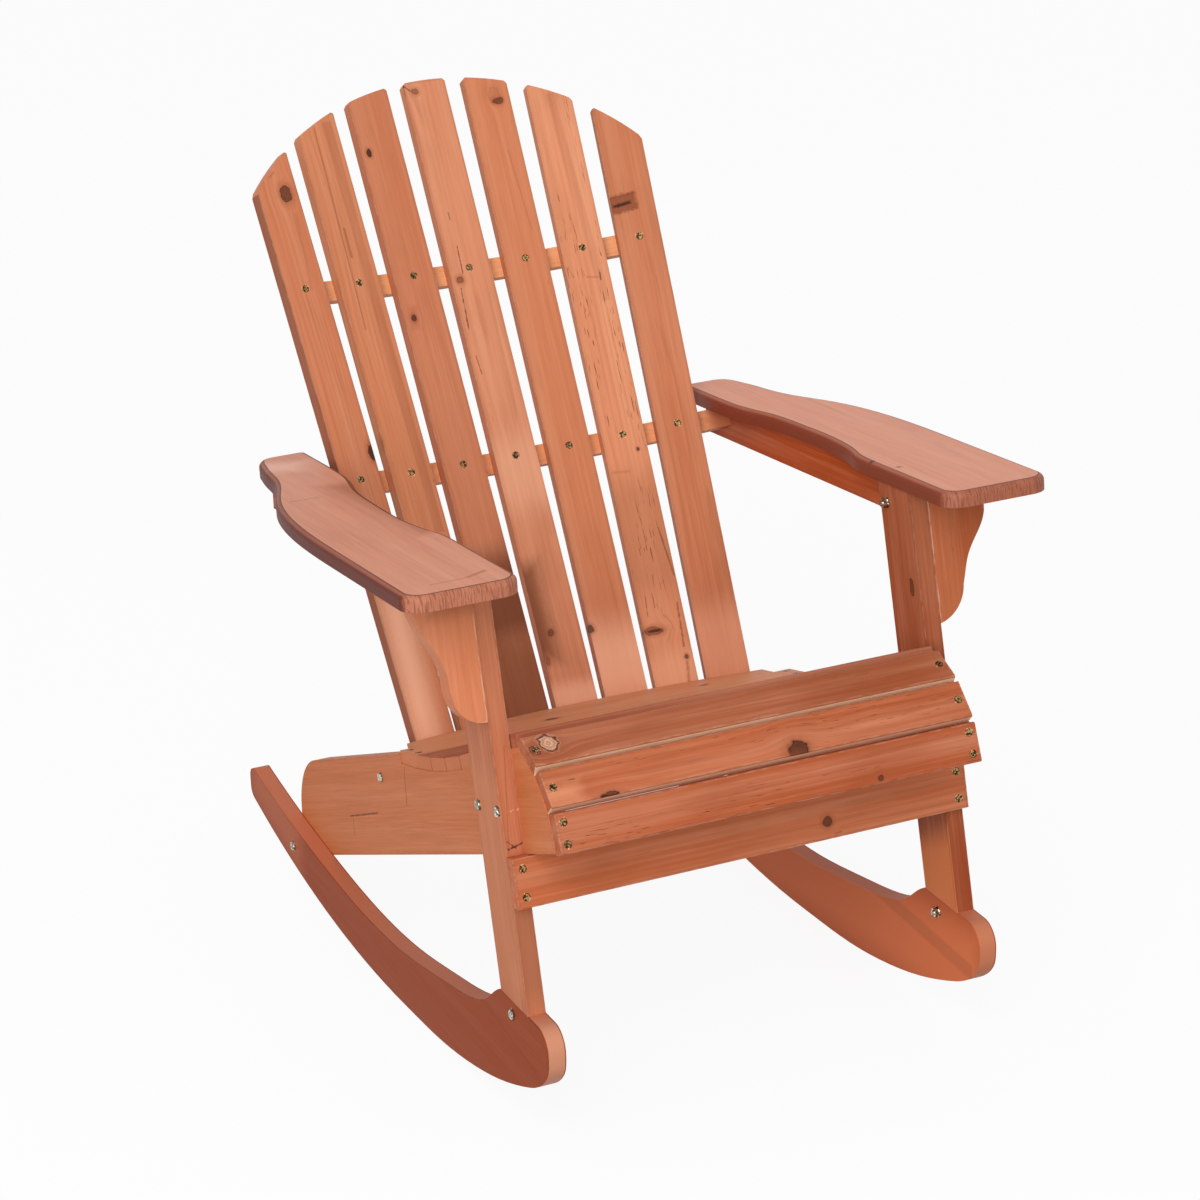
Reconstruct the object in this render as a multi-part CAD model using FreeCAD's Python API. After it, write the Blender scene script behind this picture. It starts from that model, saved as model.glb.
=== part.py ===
"""Wooden rocking chair of the slatted garden kind, in millimetres.

The frame: +X is the sitter's left, +Y runs to the back, +Z is up. The origin lies on the floor,
under the middle of the chair's width and depth. Every left piece is the mirror image of its right
twin, so the drawing functions make the +X side only.
"""
import FreeCAD, Part
import math
import os

from FreeCAD import Matrix, Vector

# Overall sizes
CHAIR_HEIGHT = 971.55
CHAIR_WIDTH = 768.35

# Boards
FRAME_BOARD = 21.0
LEG_BOARD = 21.7
BACK_SLAT_BOARD = 15.5
SEAT_SLAT_BOARD = 15.5
ARM_BOARD = 18.0
APRON_BOARD = 16.0

# Widths between the two sides
SEAT_SLAT_LENGTH = 508.0
SLAT_END_REVEAL = 1.4
RAIL_OUTER_X = SEAT_SLAT_LENGTH / 2 + SLAT_END_REVEAL
RAIL_INNER_X = RAIL_OUTER_X - FRAME_BOARD
LEG_OUTER_X = RAIL_OUTER_X + LEG_BOARD
SUPPORT_OUTER_X = LEG_OUTER_X + FRAME_BOARD

# Rockers: one board each, under the leg and outside the seat rail
ROCKER_RADIUS = 1521.0
ROCKER_LOW_Y = 26.0
ROCKER_FRONT_Y = -472.0
ROCKER_REAR_Y = 469.5
ROCKER_TOP_Z = 162.0
ROCKER_FLAT_REAR_Y = -347.0
ROLLING_FRONT_Y = -50.0
NOSE_UNDER_LINE = ((313.0, 8.2), (222.0, 21.8), (134.0, 43.8), (61.0, 70.6), (25.0, 89.5), (7.0, 107.0))
NOSE_FRONT_Z = 131.0
NOSE_TOP_RADIUS = 26.0
TAIL_RADIUS = 15.0
TAIL_TOP_Z = 105.0
ROCKER_TOP_LINE = ((-331.0, 152.0), (-304.0, 130.0), (-255.0, 109.0), (-168.0, 91.0), (-65.0, 73.5),
                   (50.0, 65.0), (225.0, 73.0), (350.0, 87.5))

# Front legs
LEG_LEAN = 13.73
LEG_REAR_POINT = (-315.0, 300.0)
LEG_WIDTH_Y = 72.2
TENON_THICKNESS = 7.2
TENON_LENGTH = 34.0
TENON_SHOULDER = 13.0
MORTISE_CLEARANCE = 0.1

# Seat rails
RAIL_SLOPE = 23.14
RAIL_BOTTOM_POINT = (224.7, 76.0)
RAIL_BOARD_WIDTH = 119.5
RAIL_REAR_Y = 339.0
RAIL_REAR_TOP_RADIUS = 94.0
RAIL_REAR_BOTTOM_RADIUS = 20.0

# Seat slats, from the front edge upwards and back
SEAT_FRONT = (-475.6, 372.9)
SEAT_SLAT_WIDTH = 44.5
REAR_SEAT_SLAT_WIDTH = 49.0
NOSE_ANGLES = (67.0, 42.0, 22.0, -25.0)
NOSE_GAPS = (7.0, 6.6, 12.8)
SCOOP_START_ANGLE = -33.73
SCOOP_END_ANGLE = -15.0
SCOOP_SLATS = 6
SCOOP_GAP = 3.16
SEAT_EDGE_RADIUS = 2.5
REAR_SLAT_SIDE_GAP = 1.4

# Back: seven flat slats on a cone whose tip is far below the seat
BACK_SLATS = 7
BACK_POINT = (111.4, 400.0)
BACK_LEAN = 31.03
CONE_TIP_DISTANCE = 4014.0
CONE_HALF_ANGLE = 13.01
BACK_SIDE_GAP = 16.4
BACK_SLAT_GAP = 8.97
BACK_SLAT_FOOT = -190.0
BACK_TOP_RADIUS = 334.5
BACK_SLAT_CORNER = 3.0
BACK_SLAT_WIDTH = (2 * (RAIL_INNER_X - BACK_SIDE_GAP) - (BACK_SLATS - 1) * BACK_SLAT_GAP) / BACK_SLATS

# Battens behind the back slats
BATTEN_BOARD = 25.0
BATTEN_DEPTH = 16.0
LOWER_BATTEN_DEPTH = 30.0
BATTEN_GAP = 0.4
UPPER_BATTEN_BELOW_TOP = 242.7
MIDDLE_BATTEN_AT = 186.0
LOWER_BATTEN_AT = -158.7
UPPER_BATTEN_OVERHANG = 14.0
BATTEN_SCREW_RISE = 2.0

# Arms
ARM_TOP_Z = 659.9
ARM_TOP_Y = -386.0
ARM_FALL = 5.85
ARM_FRONT_Y = -399.0
ARM_CORNER_RADIUS = 25.0
ARM_EDGE_RADIUS = 7.0
ARM_OUTER_X = CHAIR_WIDTH / 2
ARM_INNER_INSET = -2.7
ARM_REAR_Y = 264.5
ARM_TAIL_RADIUS = 9.0

# The arm's outline in plan: shares of its width from the outer or the inner side, and Y
ARM_OUTER_STRAIGHT_Y = -170.0
ARM_OUTER_LINE = ((0.023, -62.0), (0.079, 4.0), (0.19, 66.0), (0.354, 125.0), (0.417, 159.0), (0.453, 196.0),
                  (0.499, 230.0))
ARM_TAIL_SHARE = 0.715
ARM_INNER_REAR = (-0.024, 150.0)
ARM_INNER_LINE = ((0.006, 99.0), (0.067, 62.0), (0.114, -20.0), (0.121, -65.0), (0.105, -117.0),
                  (0.056, -160.0))
ARM_INNER_STRAIGHT_Y = -215.0

# What carries the arms
SUPPORT_HEIGHT = 43.5
SUPPORT_REAR_Y = 250.0
SUPPORT_SCREW_YS = (-190.0, -30.0, 130.0)
BRACKET_CURVE = ((71.0, 28.0), (66.0, 48.0), (52.0, 69.0), (43.5, 84.0), (38.4, 100.0), (34.3, 114.0))
BRACKET_TOE = ((24.0, 139.0), (0.0, 153.5))
DOWEL_DROPS = (30.0, 90.0)

# Front apron
APRON_BOTTOM_Z = 280.5
APRON_WIDTH = 56.0

# Fasteners
SCREW_HEAD_RADIUS = 3.75
SCREW_SHANK_RADIUS = 1.9
SCREW_HEAD_HEIGHT = 2.2
SCREW_LENGTH = 32.0
SCREW_CROSS_LENGTH = 4.4
SCREW_CROSS_WIDTH = 0.9
SCREW_CROSS_DEPTH = 1.0
ARM_SCREW_LENGTH = 55.0
SHANK_CLEARANCE = 0.1
BOLT_RADIUS = 3.0
BOLT_HEAD_RADIUS = 5.8
BOLT_HEAD_HEIGHT = 3.2
BOLT_HOLE_CLEARANCE = 0.15
NUT_FLATS = 10.0
NUT_HEIGHT = 5.0
WASHER_RADIUS = 6.5
WASHER_HEIGHT = 1.2
BOLT_PROUD = 2.0
LAG_LENGTH = 45.0
DOWEL_RADIUS = 4.0
DOWEL_LENGTH = 30.0
DOWEL_CLEARANCE = 0.05

# Bolt places seen from the side, as Y and Z
LEG_RAIL_BOLTS = ((-306.8, 368.1), (-359.8, 381.2))
TENON_BOLT = (-378.0, 144.8)
ROCKER_RAIL_BOLT = (316.4, 54.8)
LOWER_BATTEN_BOLT = (48.5, 252.7)
SUPPORT_LEG_BOLT = (-255.1, 604.9)

# The drawing's Y zero is a little in front of the chair's middle
CENTRE_SHIFT_Y = 3.5

X_AXIS = Vector(1, 0, 0)
ORIGIN = Vector(0, 0, 0)


# Helpers

def side_point(y, z, x=0.0):
    return Vector(x, y, z)


def mirrored(shape):
    return shape.mirror(ORIGIN, X_AXIS)


def solid_from(edges, direction):
    """A closed outline pushed along a direction."""
    wire = Part.Wire(Part.__sortEdges__(edges))
    return Part.Face(wire).extrude(direction)


def polygon(points):
    return [Part.makeLine(a, b) for a, b in zip(points, points[1:] + points[:1])]


def rounded_polygon(corners):
    """Edges of a polygon whose corners are (point, radius) pairs."""
    starts, ends, edges = [], [], []
    count = len(corners)
    for index, (corner, radius) in enumerate(corners):
        before = corners[index - 1][0]
        after = corners[(index + 1) % count][0]
        to_before = (before - corner).normalize()
        to_after = (after - corner).normalize()
        half = to_before.getAngle(to_after) / 2
        reach = radius / math.tan(half)
        start = corner + to_before * reach
        end = corner + to_after * reach
        starts.append(start)
        ends.append(end)
        if radius > 0:
            bisector = (to_before + to_after).normalize()
            centre = corner + bisector * (radius / math.sin(half))
            middle = centre - bisector * radius
            edges.append(Part.Arc(start, middle, end).toShape())
    for index in range(count):
        edges.append(Part.makeLine(ends[index], starts[(index + 1) % count]))
    return edges


def crossing(p, angle_p, q, angle_q):
    """Where two lines in the side view meet, each a (Y, Z) point and an angle in degrees."""
    dp = (math.cos(math.radians(angle_p)), math.sin(math.radians(angle_p)))
    dq = (math.cos(math.radians(angle_q)), math.sin(math.radians(angle_q)))
    cross = dp[0] * dq[1] - dp[1] * dq[0]
    along = ((q[0] - p[0]) * dq[1] - (q[1] - p[1]) * dq[0]) / cross
    return (p[0] + along * dp[0], p[1] + along * dp[1])


def cylinder(radius, length, at, direction):
    return Part.makeCylinder(radius, length, at, direction)


def cut_all(shape, tools):
    return shape.cut(Part.makeCompound(tools)) if tools else shape


# Seat slats: each is a (front top corner, angle, width) in the side view

def slat_line():
    """Every slat's front top corner, its angle and its width, from the front to the back."""
    scoop_step = (SCOOP_END_ANGLE - SCOOP_START_ANGLE) / SCOOP_SLATS
    scoop = [SCOOP_START_ANGLE + scoop_step * n for n in range(SCOOP_SLATS + 1)]
    angles = list(NOSE_ANGLES) + scoop
    slats = []
    y, z = SEAT_FRONT
    for n, angle in enumerate(angles):
        last = n == len(angles) - 1
        width = REAR_SEAT_SLAT_WIDTH if last else SEAT_SLAT_WIDTH
        slats.append(((y, z), angle, width))
        if last:
            break
        gap = NOSE_GAPS[n] if n < len(NOSE_GAPS) else SCOOP_GAP
        turn = (angle + angles[n + 1]) / 2
        y += width * math.cos(math.radians(angle)) + gap * math.cos(math.radians(turn))
        z += width * math.sin(math.radians(angle)) + gap * math.sin(math.radians(turn))
    return slats


SLATS = slat_line()


def slat_axes(angle):
    """Unit vectors along a seat slat's width and out of its top."""
    turn = math.radians(angle)
    along = Vector(0, math.cos(turn), math.sin(turn))
    out = Vector(0, -math.sin(turn), math.cos(turn))
    return along, out


def slat_underside(slat):
    """A point on the slat's lower face, where the rail carries it, and its angle."""
    (y, z), angle, _ = slat
    _, out = slat_axes(angle)
    return (y - out.y * SEAT_SLAT_BOARD, z - out.z * SEAT_SLAT_BOARD), angle


def seat_slat(slat):
    (y, z), angle, width = slat
    along, out = slat_axes(angle)
    corner = Vector(-SEAT_SLAT_LENGTH / 2, y, z) - out * SEAT_SLAT_BOARD
    board = Part.makeBox(SEAT_SLAT_LENGTH, width, SEAT_SLAT_BOARD)
    board.Placement = FreeCAD.Placement(corner, FreeCAD.Rotation(X_AXIS, angle))
    middle = corner + along * (width / 2) + out * SEAT_SLAT_BOARD
    top_edges = []
    for edge in board.Edges:
        direction = edge.tangentAt(edge.FirstParameter)
        on_top = abs((edge.CenterOfMass - middle).dot(out)) < 0.01
        if on_top and abs(direction.x) > 0.99:
            top_edges.append(edge)
    return board.makeFillet(SEAT_EDGE_RADIUS, top_edges)


def rear_seat_slat(slat):
    """The last slat: its rear edge is round and bevelled to the back, its ends lie on the rails."""
    (y, z), angle, width = slat
    along, out = slat_axes(angle)
    half = SEAT_SLAT_LENGTH / 2
    start = Vector(0, y, z)
    face_y, face_z = back_front_at_seat(start, along)
    middle_width = (Vector(0, face_y, face_z) - start).dot(along) - BATTEN_GAP
    bulge_radius = cone_radius(LOWER_BATTEN_AT)
    corner_x = RAIL_INNER_X - REAR_SLAT_SIDE_GAP
    side_drop = corner_x ** 2 / (2 * bulge_radius)

    def spot(x, w):
        return Vector(x, 0, 0) + start + along * w

    side_width = middle_width - side_drop
    outline = [
        Part.makeLine(spot(-half, 0), spot(half, 0)),
        Part.makeLine(spot(half, 0), spot(half, width)),
        Part.makeLine(spot(half, width), spot(corner_x, width)),
        Part.makeLine(spot(corner_x, width), spot(corner_x, side_width)),
        Part.Arc(spot(corner_x, side_width), spot(0, middle_width),
                 spot(-corner_x, side_width)).toShape(),
        Part.makeLine(spot(-corner_x, side_width), spot(-corner_x, width)),
        Part.makeLine(spot(-corner_x, width), spot(-half, width)),
        Part.makeLine(spot(-half, width), spot(-half, 0)),
    ]
    board = solid_from(outline, out * -SEAT_SLAT_BOARD)
    corners = [spot(-corner_x, 0), spot(corner_x, 0), spot(corner_x, 2 * middle_width),
               spot(-corner_x, 2 * middle_width)]
    behind = solid_from(polygon(corners), out * -SEAT_SLAT_BOARD)
    return board.cut(behind.cut(back_cone(-BATTEN_GAP, LOWER_BATTEN_AT)))


def seat_screw_spots():
    """Screw places on the seat, as (head point, outward direction), for the +X end only."""
    spots = []
    x = (RAIL_INNER_X + RAIL_OUTER_X) / 2
    for n, ((y, z), angle, width) in enumerate(SLATS):
        along, out = slat_axes(angle)
        if n in (0, len(SLATS) - 1):
            places = (0.23 * width, 0.77 * width)
        else:
            places = (width / 2,)
        for place in places:
            spots.append((Vector(x, y, z) + along * place, out))
    return spots


# Seat rails

def rail_slope_line(offset):
    """A point on a line parallel to the rail's bottom edge, offset upwards."""
    turn = math.radians(RAIL_SLOPE)
    y, z = RAIL_BOTTOM_POINT
    return (y + offset * math.sin(turn), z + offset * math.cos(turn))


def seat_rail():
    """The board on edge that carries the slats and runs back down to the rocker."""
    bottom = rail_slope_line(0)
    top = rail_slope_line(RAIL_BOARD_WIDTH)
    slope = -RAIL_SLOPE
    undersides = [slat_underside(slat) for slat in SLATS]
    first_point, first_angle = undersides[0]
    front_foot = crossing(first_point, first_angle, bottom, slope)
    seats = []
    for (p, angle_p), (q, angle_q) in zip(undersides, undersides[1:]):
        seats.append(crossing(p, angle_p, q, angle_q))
    last_point, last_angle = undersides[-1]
    along, out = slat_axes(last_angle)
    shoulder_foot = Vector(0, *last_point) + along * (REAR_SEAT_SLAT_WIDTH + BATTEN_GAP)
    shoulder = crossing((shoulder_foot.y, shoulder_foot.z), last_angle + 90, top, slope)
    rear_top = crossing(top, slope, (RAIL_REAR_Y, 0), 90)
    rear_bottom = crossing(bottom, slope, (RAIL_REAR_Y, 0), 90)
    corners = [(side_point(*front_foot), 0)]
    corners += [(side_point(*seat), 0) for seat in seats]
    corners += [
        (side_point(shoulder_foot.y, shoulder_foot.z), 0),
        (side_point(*shoulder), 0),
        (side_point(*rear_top), RAIL_REAR_TOP_RADIUS),
        (side_point(*rear_bottom), RAIL_REAR_BOTTOM_RADIUS),
    ]
    board = solid_from(rounded_polygon(corners), X_AXIS * FRAME_BOARD)
    board.translate(X_AXIS * RAIL_INNER_X)
    return board


# Front legs

def leg_rear_y(z):
    y, height = LEG_REAR_POINT
    return y + math.tan(math.radians(LEG_LEAN)) * (z - height)


def leg_front_y(z):
    return leg_rear_y(z) - LEG_WIDTH_Y


def arm_plane_z(y, below=0.0):
    """Height of the arm's top at Y, or of a plane below it."""
    fall = math.radians(ARM_FALL)
    return ARM_TOP_Z - math.tan(fall) * (y - ARM_TOP_Y) - below / math.cos(fall)


def on_arm_plane(edge_y, below):
    """The (Y, Z) where a leaning leg edge meets a plane under the arm's top."""
    y = edge_y(ARM_TOP_Z)
    for _ in range(20):
        y = edge_y(arm_plane_z(y, below))
    return y, arm_plane_z(y, below)


def tenon_box(clearance):
    """The leg's tongue, which stands in the rocker; the mortise is the same with clearance."""
    front = leg_front_y(ROCKER_TOP_Z) + TENON_SHOULDER - clearance
    rear = leg_rear_y(ROCKER_TOP_Z) - TENON_SHOULDER + clearance
    thick = TENON_THICKNESS + 2 * clearance
    depth = TENON_LENGTH + clearance
    middle_x = (RAIL_OUTER_X + LEG_OUTER_X) / 2
    corner = Vector(middle_x - thick / 2, front, ROCKER_TOP_Z - depth)
    return Part.makeBox(thick, rear - front, depth, corner)


def front_leg():
    foot_front = side_point(leg_front_y(ROCKER_TOP_Z), ROCKER_TOP_Z)
    foot_rear = side_point(leg_rear_y(ROCKER_TOP_Z), ROCKER_TOP_Z)
    head_rear = side_point(*on_arm_plane(leg_rear_y, ARM_BOARD))
    head_front = side_point(*on_arm_plane(leg_front_y, ARM_BOARD))
    board = solid_from(polygon([foot_front, foot_rear, head_rear, head_front]), X_AXIS * LEG_BOARD)
    board.translate(X_AXIS * RAIL_OUTER_X)
    return board.fuse(tenon_box(0)).removeSplitter()


# Rockers

def rolling_touch(end_y, radius):
    """Centre of a round end that touches the rolling edge from inside, and the point of touch."""
    reach = ROCKER_RADIUS - radius
    y = end_y - math.copysign(radius, end_y)
    z = ROCKER_RADIUS - math.sqrt(reach ** 2 - (y - ROCKER_LOW_Y) ** 2)
    scale = ROCKER_RADIUS / reach
    touch = (ROCKER_LOW_Y + (y - ROCKER_LOW_Y) * scale, ROCKER_RADIUS + (z - ROCKER_RADIUS) * scale)
    return (y, z), touch


def quarter(centre, radius, start_angle, end_angle):
    """An arc in the side view about a (Y, Z) centre, by its angles in degrees."""
    points = []
    for angle in (start_angle, (start_angle + end_angle) / 2, end_angle):
        turn = math.radians(angle)
        points.append(side_point(centre[0] + radius * math.cos(turn), centre[1] + radius * math.sin(turn)))
    return Part.Arc(*points).toShape()


def angle_of(point, centre):
    return math.degrees(math.atan2(point[1] - centre[1], point[0] - centre[0]))


def rocker():
    """One board: a round rolling edge, a high nose that carries the leg, a rising tail."""
    tail, tail_touch = rolling_touch(ROCKER_REAR_Y, TAIL_RADIUS)
    reach = ROCKER_LOW_Y - ROLLING_FRONT_Y
    drop = math.sqrt(ROCKER_RADIUS ** 2 - reach ** 2)
    rolling_front = side_point(ROLLING_FRONT_Y, ROCKER_RADIUS - drop)
    rolling = Part.Arc(rolling_front, side_point(ROCKER_LOW_Y, 0), side_point(*tail_touch)).toShape()
    nose_front = side_point(ROCKER_FRONT_Y, NOSE_FRONT_Z)
    nose_under = Part.BSplineCurve()
    nose_under.interpolate(
        Points=[rolling_front] + [side_point(ROCKER_FRONT_Y + y, z) for y, z in NOSE_UNDER_LINE] + [nose_front],
        InitialTangent=Vector(0, -drop, reach).normalize(), FinalTangent=Vector(0, 0, 1))
    top_centre = (ROCKER_FRONT_Y + NOSE_TOP_RADIUS, ROCKER_TOP_Z - NOSE_TOP_RADIUS)
    nose_face = Part.makeLine(nose_front, side_point(ROCKER_FRONT_Y, top_centre[1]))
    nose_top = quarter(top_centre, NOSE_TOP_RADIUS, 180, 90)
    flat = Part.makeLine(side_point(top_centre[0], ROCKER_TOP_Z), side_point(ROCKER_FLAT_REAR_Y, ROCKER_TOP_Z))
    tail_centre = (ROCKER_REAR_Y - TAIL_RADIUS, TAIL_TOP_Z - TAIL_RADIUS)
    top = Part.BSplineCurve()
    top.interpolate([side_point(ROCKER_FLAT_REAR_Y, ROCKER_TOP_Z)]
                    + [side_point(*point) for point in ROCKER_TOP_LINE]
                    + [side_point(tail_centre[0], TAIL_TOP_Z)])
    tail_top = quarter(tail_centre, TAIL_RADIUS, 90, 0)
    tail_face = Part.makeLine(side_point(ROCKER_REAR_Y, tail_centre[1]), side_point(ROCKER_REAR_Y, tail[1]))
    tail_under = quarter(tail, TAIL_RADIUS, 0, angle_of(tail_touch, tail))
    edges = [rolling, nose_under.toShape(), nose_face, nose_top, flat, top.toShape(), tail_top, tail_face, tail_under]
    board = solid_from(edges, X_AXIS * LEG_BOARD)
    board.translate(X_AXIS * RAIL_OUTER_X)
    return board.cut(tenon_box(MORTISE_CLEARANCE))


# Apron

def apron():
    turn = math.radians(LEG_LEAN)
    up = Vector(0, math.sin(turn), math.cos(turn))
    out = Vector(0, -math.cos(turn), math.sin(turn))
    rear_foot = side_point(leg_front_y(APRON_BOTTOM_Z), APRON_BOTTOM_Z, -LEG_OUTER_X)
    corners = [rear_foot, rear_foot + up * APRON_WIDTH, rear_foot + up * APRON_WIDTH + out * APRON_BOARD,
               rear_foot + out * APRON_BOARD]
    return solid_from(polygon(corners), X_AXIS * (2 * LEG_OUTER_X))


def apron_screw_spots():
    turn = math.radians(LEG_LEAN)
    up = Vector(0, math.sin(turn), math.cos(turn))
    out = Vector(0, -math.cos(turn), math.sin(turn))
    foot = side_point(leg_front_y(APRON_BOTTOM_Z), APRON_BOTTOM_Z, (RAIL_OUTER_X + LEG_OUTER_X) / 2)
    return [(foot + out * APRON_BOARD + up * (share * APRON_WIDTH), out) for share in (0.22, 0.78)]


# Back slats on their cone

BACK_UP = Vector(0, math.sin(math.radians(BACK_LEAN)), math.cos(math.radians(BACK_LEAN)))
BACK_REARWARD = Vector(0, math.cos(math.radians(BACK_LEAN)), -math.sin(math.radians(BACK_LEAN)))
BACK_DATUM = Vector(0, *BACK_POINT)
CONE_TIP = BACK_DATUM - BACK_UP * CONE_TIP_DISTANCE
CONE_AXIS = (BACK_UP * math.cos(math.radians(CONE_HALF_ANGLE))
             - BACK_REARWARD * math.sin(math.radians(CONE_HALF_ANGLE)))


def cone_radius(s):
    """Radius of the back's hollow at a distance s above the datum, along the middle slat."""
    return (CONE_TIP_DISTANCE + s) * math.tan(math.radians(CONE_HALF_ANGLE))


def upper_batten_at():
    """Distance of the upper batten above the datum, along the middle slat."""
    return (CHAIR_HEIGHT - BACK_POINT[1]) / BACK_UP.z - UPPER_BATTEN_BELOW_TOP


def cone_step():
    """The turn about the cone from slat to slat, which puts the outer slats beside the rails."""
    reach = (CONE_TIP_DISTANCE + LOWER_BATTEN_AT) * math.sin(math.radians(CONE_HALF_ANGLE))
    outermost = RAIL_INNER_X - BACK_SIDE_GAP - BACK_SLAT_WIDTH / 2
    return math.degrees(math.asin(outermost / reach)) / (BACK_SLATS // 2)


def slat_x(step, s):
    """How far a back slat's middle line stands from the chair's middle."""
    reach = (CONE_TIP_DISTANCE + s) * math.sin(math.radians(CONE_HALF_ANGLE))
    return reach * math.sin(math.radians(cone_step() * step))


def back_front_at_seat(start, along):
    """Where the middle back slat's front face crosses the line through start along the seat."""
    offset = (BACK_DATUM - start).dot(BACK_REARWARD)
    reach = offset / along.dot(BACK_REARWARD)
    spot = start + along * reach
    return spot.y, spot.z


def back_turn(step):
    """The turn about the cone's axis that brings the middle slat to its place, right is plus."""
    return -step * cone_step()


def back_spot(x, s, depth):
    return BACK_DATUM + X_AXIS * x + BACK_UP * s + BACK_REARWARD * depth


def back_slat(step):
    """One slat, drawn as the middle one and turned about the cone. Its head is part of a circle."""
    fan = math.radians(cone_step() * math.sin(math.radians(CONE_HALF_ANGLE)) * step)
    centre_distance = CONE_TIP_DISTANCE + (CHAIR_HEIGHT - BACK_POINT[1]) / BACK_UP.z - BACK_TOP_RADIUS
    centre_x = -centre_distance * math.sin(fan)
    centre_s = centre_distance * math.cos(fan) - CONE_TIP_DISTANCE
    half = BACK_SLAT_WIDTH / 2

    def head(x):
        return back_spot(x, centre_s + math.sqrt(BACK_TOP_RADIUS ** 2 - (x - centre_x) ** 2), 0)

    inner = half - BACK_SLAT_CORNER
    left_low = head(-half) - BACK_UP * BACK_SLAT_CORNER
    right_low = head(half) - BACK_UP * BACK_SLAT_CORNER
    foot_left = back_spot(-half, BACK_SLAT_FOOT, 0)
    foot_right = back_spot(half, BACK_SLAT_FOOT, 0)
    edges = [
        Part.makeLine(foot_left, left_low),
        Part.makeLine(left_low, head(-inner)),
        Part.Arc(head(-inner), head(0), head(inner)).toShape(),
        Part.makeLine(head(inner), right_low),
        Part.makeLine(right_low, foot_right),
        Part.makeLine(foot_right, foot_left),
    ]
    slat = solid_from(edges, BACK_REARWARD * BACK_SLAT_BOARD)
    slat.rotate(CONE_TIP, CONE_AXIS, back_turn(step))
    return slat


def back_screw_spots():
    spots = []
    for step in range(-(BACK_SLATS // 2), BACK_SLATS // 2 + 1):
        turn = FreeCAD.Rotation(CONE_AXIS, back_turn(step))
        slat_up = turn.multVec(BACK_UP)
        for s in (LOWER_BATTEN_AT, MIDDLE_BATTEN_AT, upper_batten_at()):
            reach = (CONE_TIP_DISTANCE + s + BATTEN_SCREW_RISE) / slat_up.dot(BACK_UP)
            spots.append((CONE_TIP + slat_up * reach, turn.multVec(BACK_REARWARD * -1)))
    return spots


def back_cone(depth, s):
    """A cone that stands a depth behind the slats' front faces, as far as a batten at s needs."""
    half_angle = math.radians(CONE_HALF_ANGLE)
    tip = CONE_TIP - CONE_AXIS * (depth / math.sin(half_angle))
    along = (CONE_TIP_DISTANCE + s) * math.cos(half_angle)
    low = along - 6 * BATTEN_BOARD
    high = along + 12 * BATTEN_BOARD
    return Part.makeCone(low * math.tan(half_angle), high * math.tan(half_angle), high - low,
                         tip + CONE_AXIS * low, CONE_AXIS)


def straight_batten(s, half_length, depth):
    """A board square to the middle slat. Its front edge is hollowed to the slats' rear faces."""
    front = BACK_SLAT_BOARD + BATTEN_GAP
    front_most = -half_length ** 2 / (2 * cone_radius(s)) - BATTEN_BOARD
    low = s - BATTEN_BOARD / 2
    corners = [back_spot(-half_length, low, front_most), back_spot(half_length, low, front_most),
               back_spot(half_length, low, front + depth), back_spot(-half_length, low, front + depth)]
    board = solid_from(polygon(corners), BACK_UP * BATTEN_BOARD)
    return board.cut(back_cone(front, s))


def curved_batten(s, half_length):
    """A board of one depth that follows the slats' rear faces."""
    spare = 2 * BATTEN_DEPTH
    board = straight_batten(s, half_length, spare)
    return board.common(back_cone(BACK_SLAT_BOARD + BATTEN_GAP + BATTEN_DEPTH, s))


# Arms and what carries them

def arm_spot(x, y):
    return Vector(x, y, arm_plane_z(y))


def arm_out():
    fall = math.radians(ARM_FALL)
    return Vector(0, math.sin(fall), math.cos(fall))


def arm_corner(x, y, radius, x_way, y_way):
    """A round corner in the arm's plan, between its edge along Y and its edge along X."""
    start = radius * (1 - math.sqrt(0.5))
    return Part.Arc(arm_spot(x, y + y_way * radius), arm_spot(x + x_way * start, y + y_way * start),
                    arm_spot(x + x_way * radius, y)).toShape()


def arm_line(*places):
    """A straight edge in the arm's plan."""
    return Part.makeLine(*[arm_spot(*place) for place in places])


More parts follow.
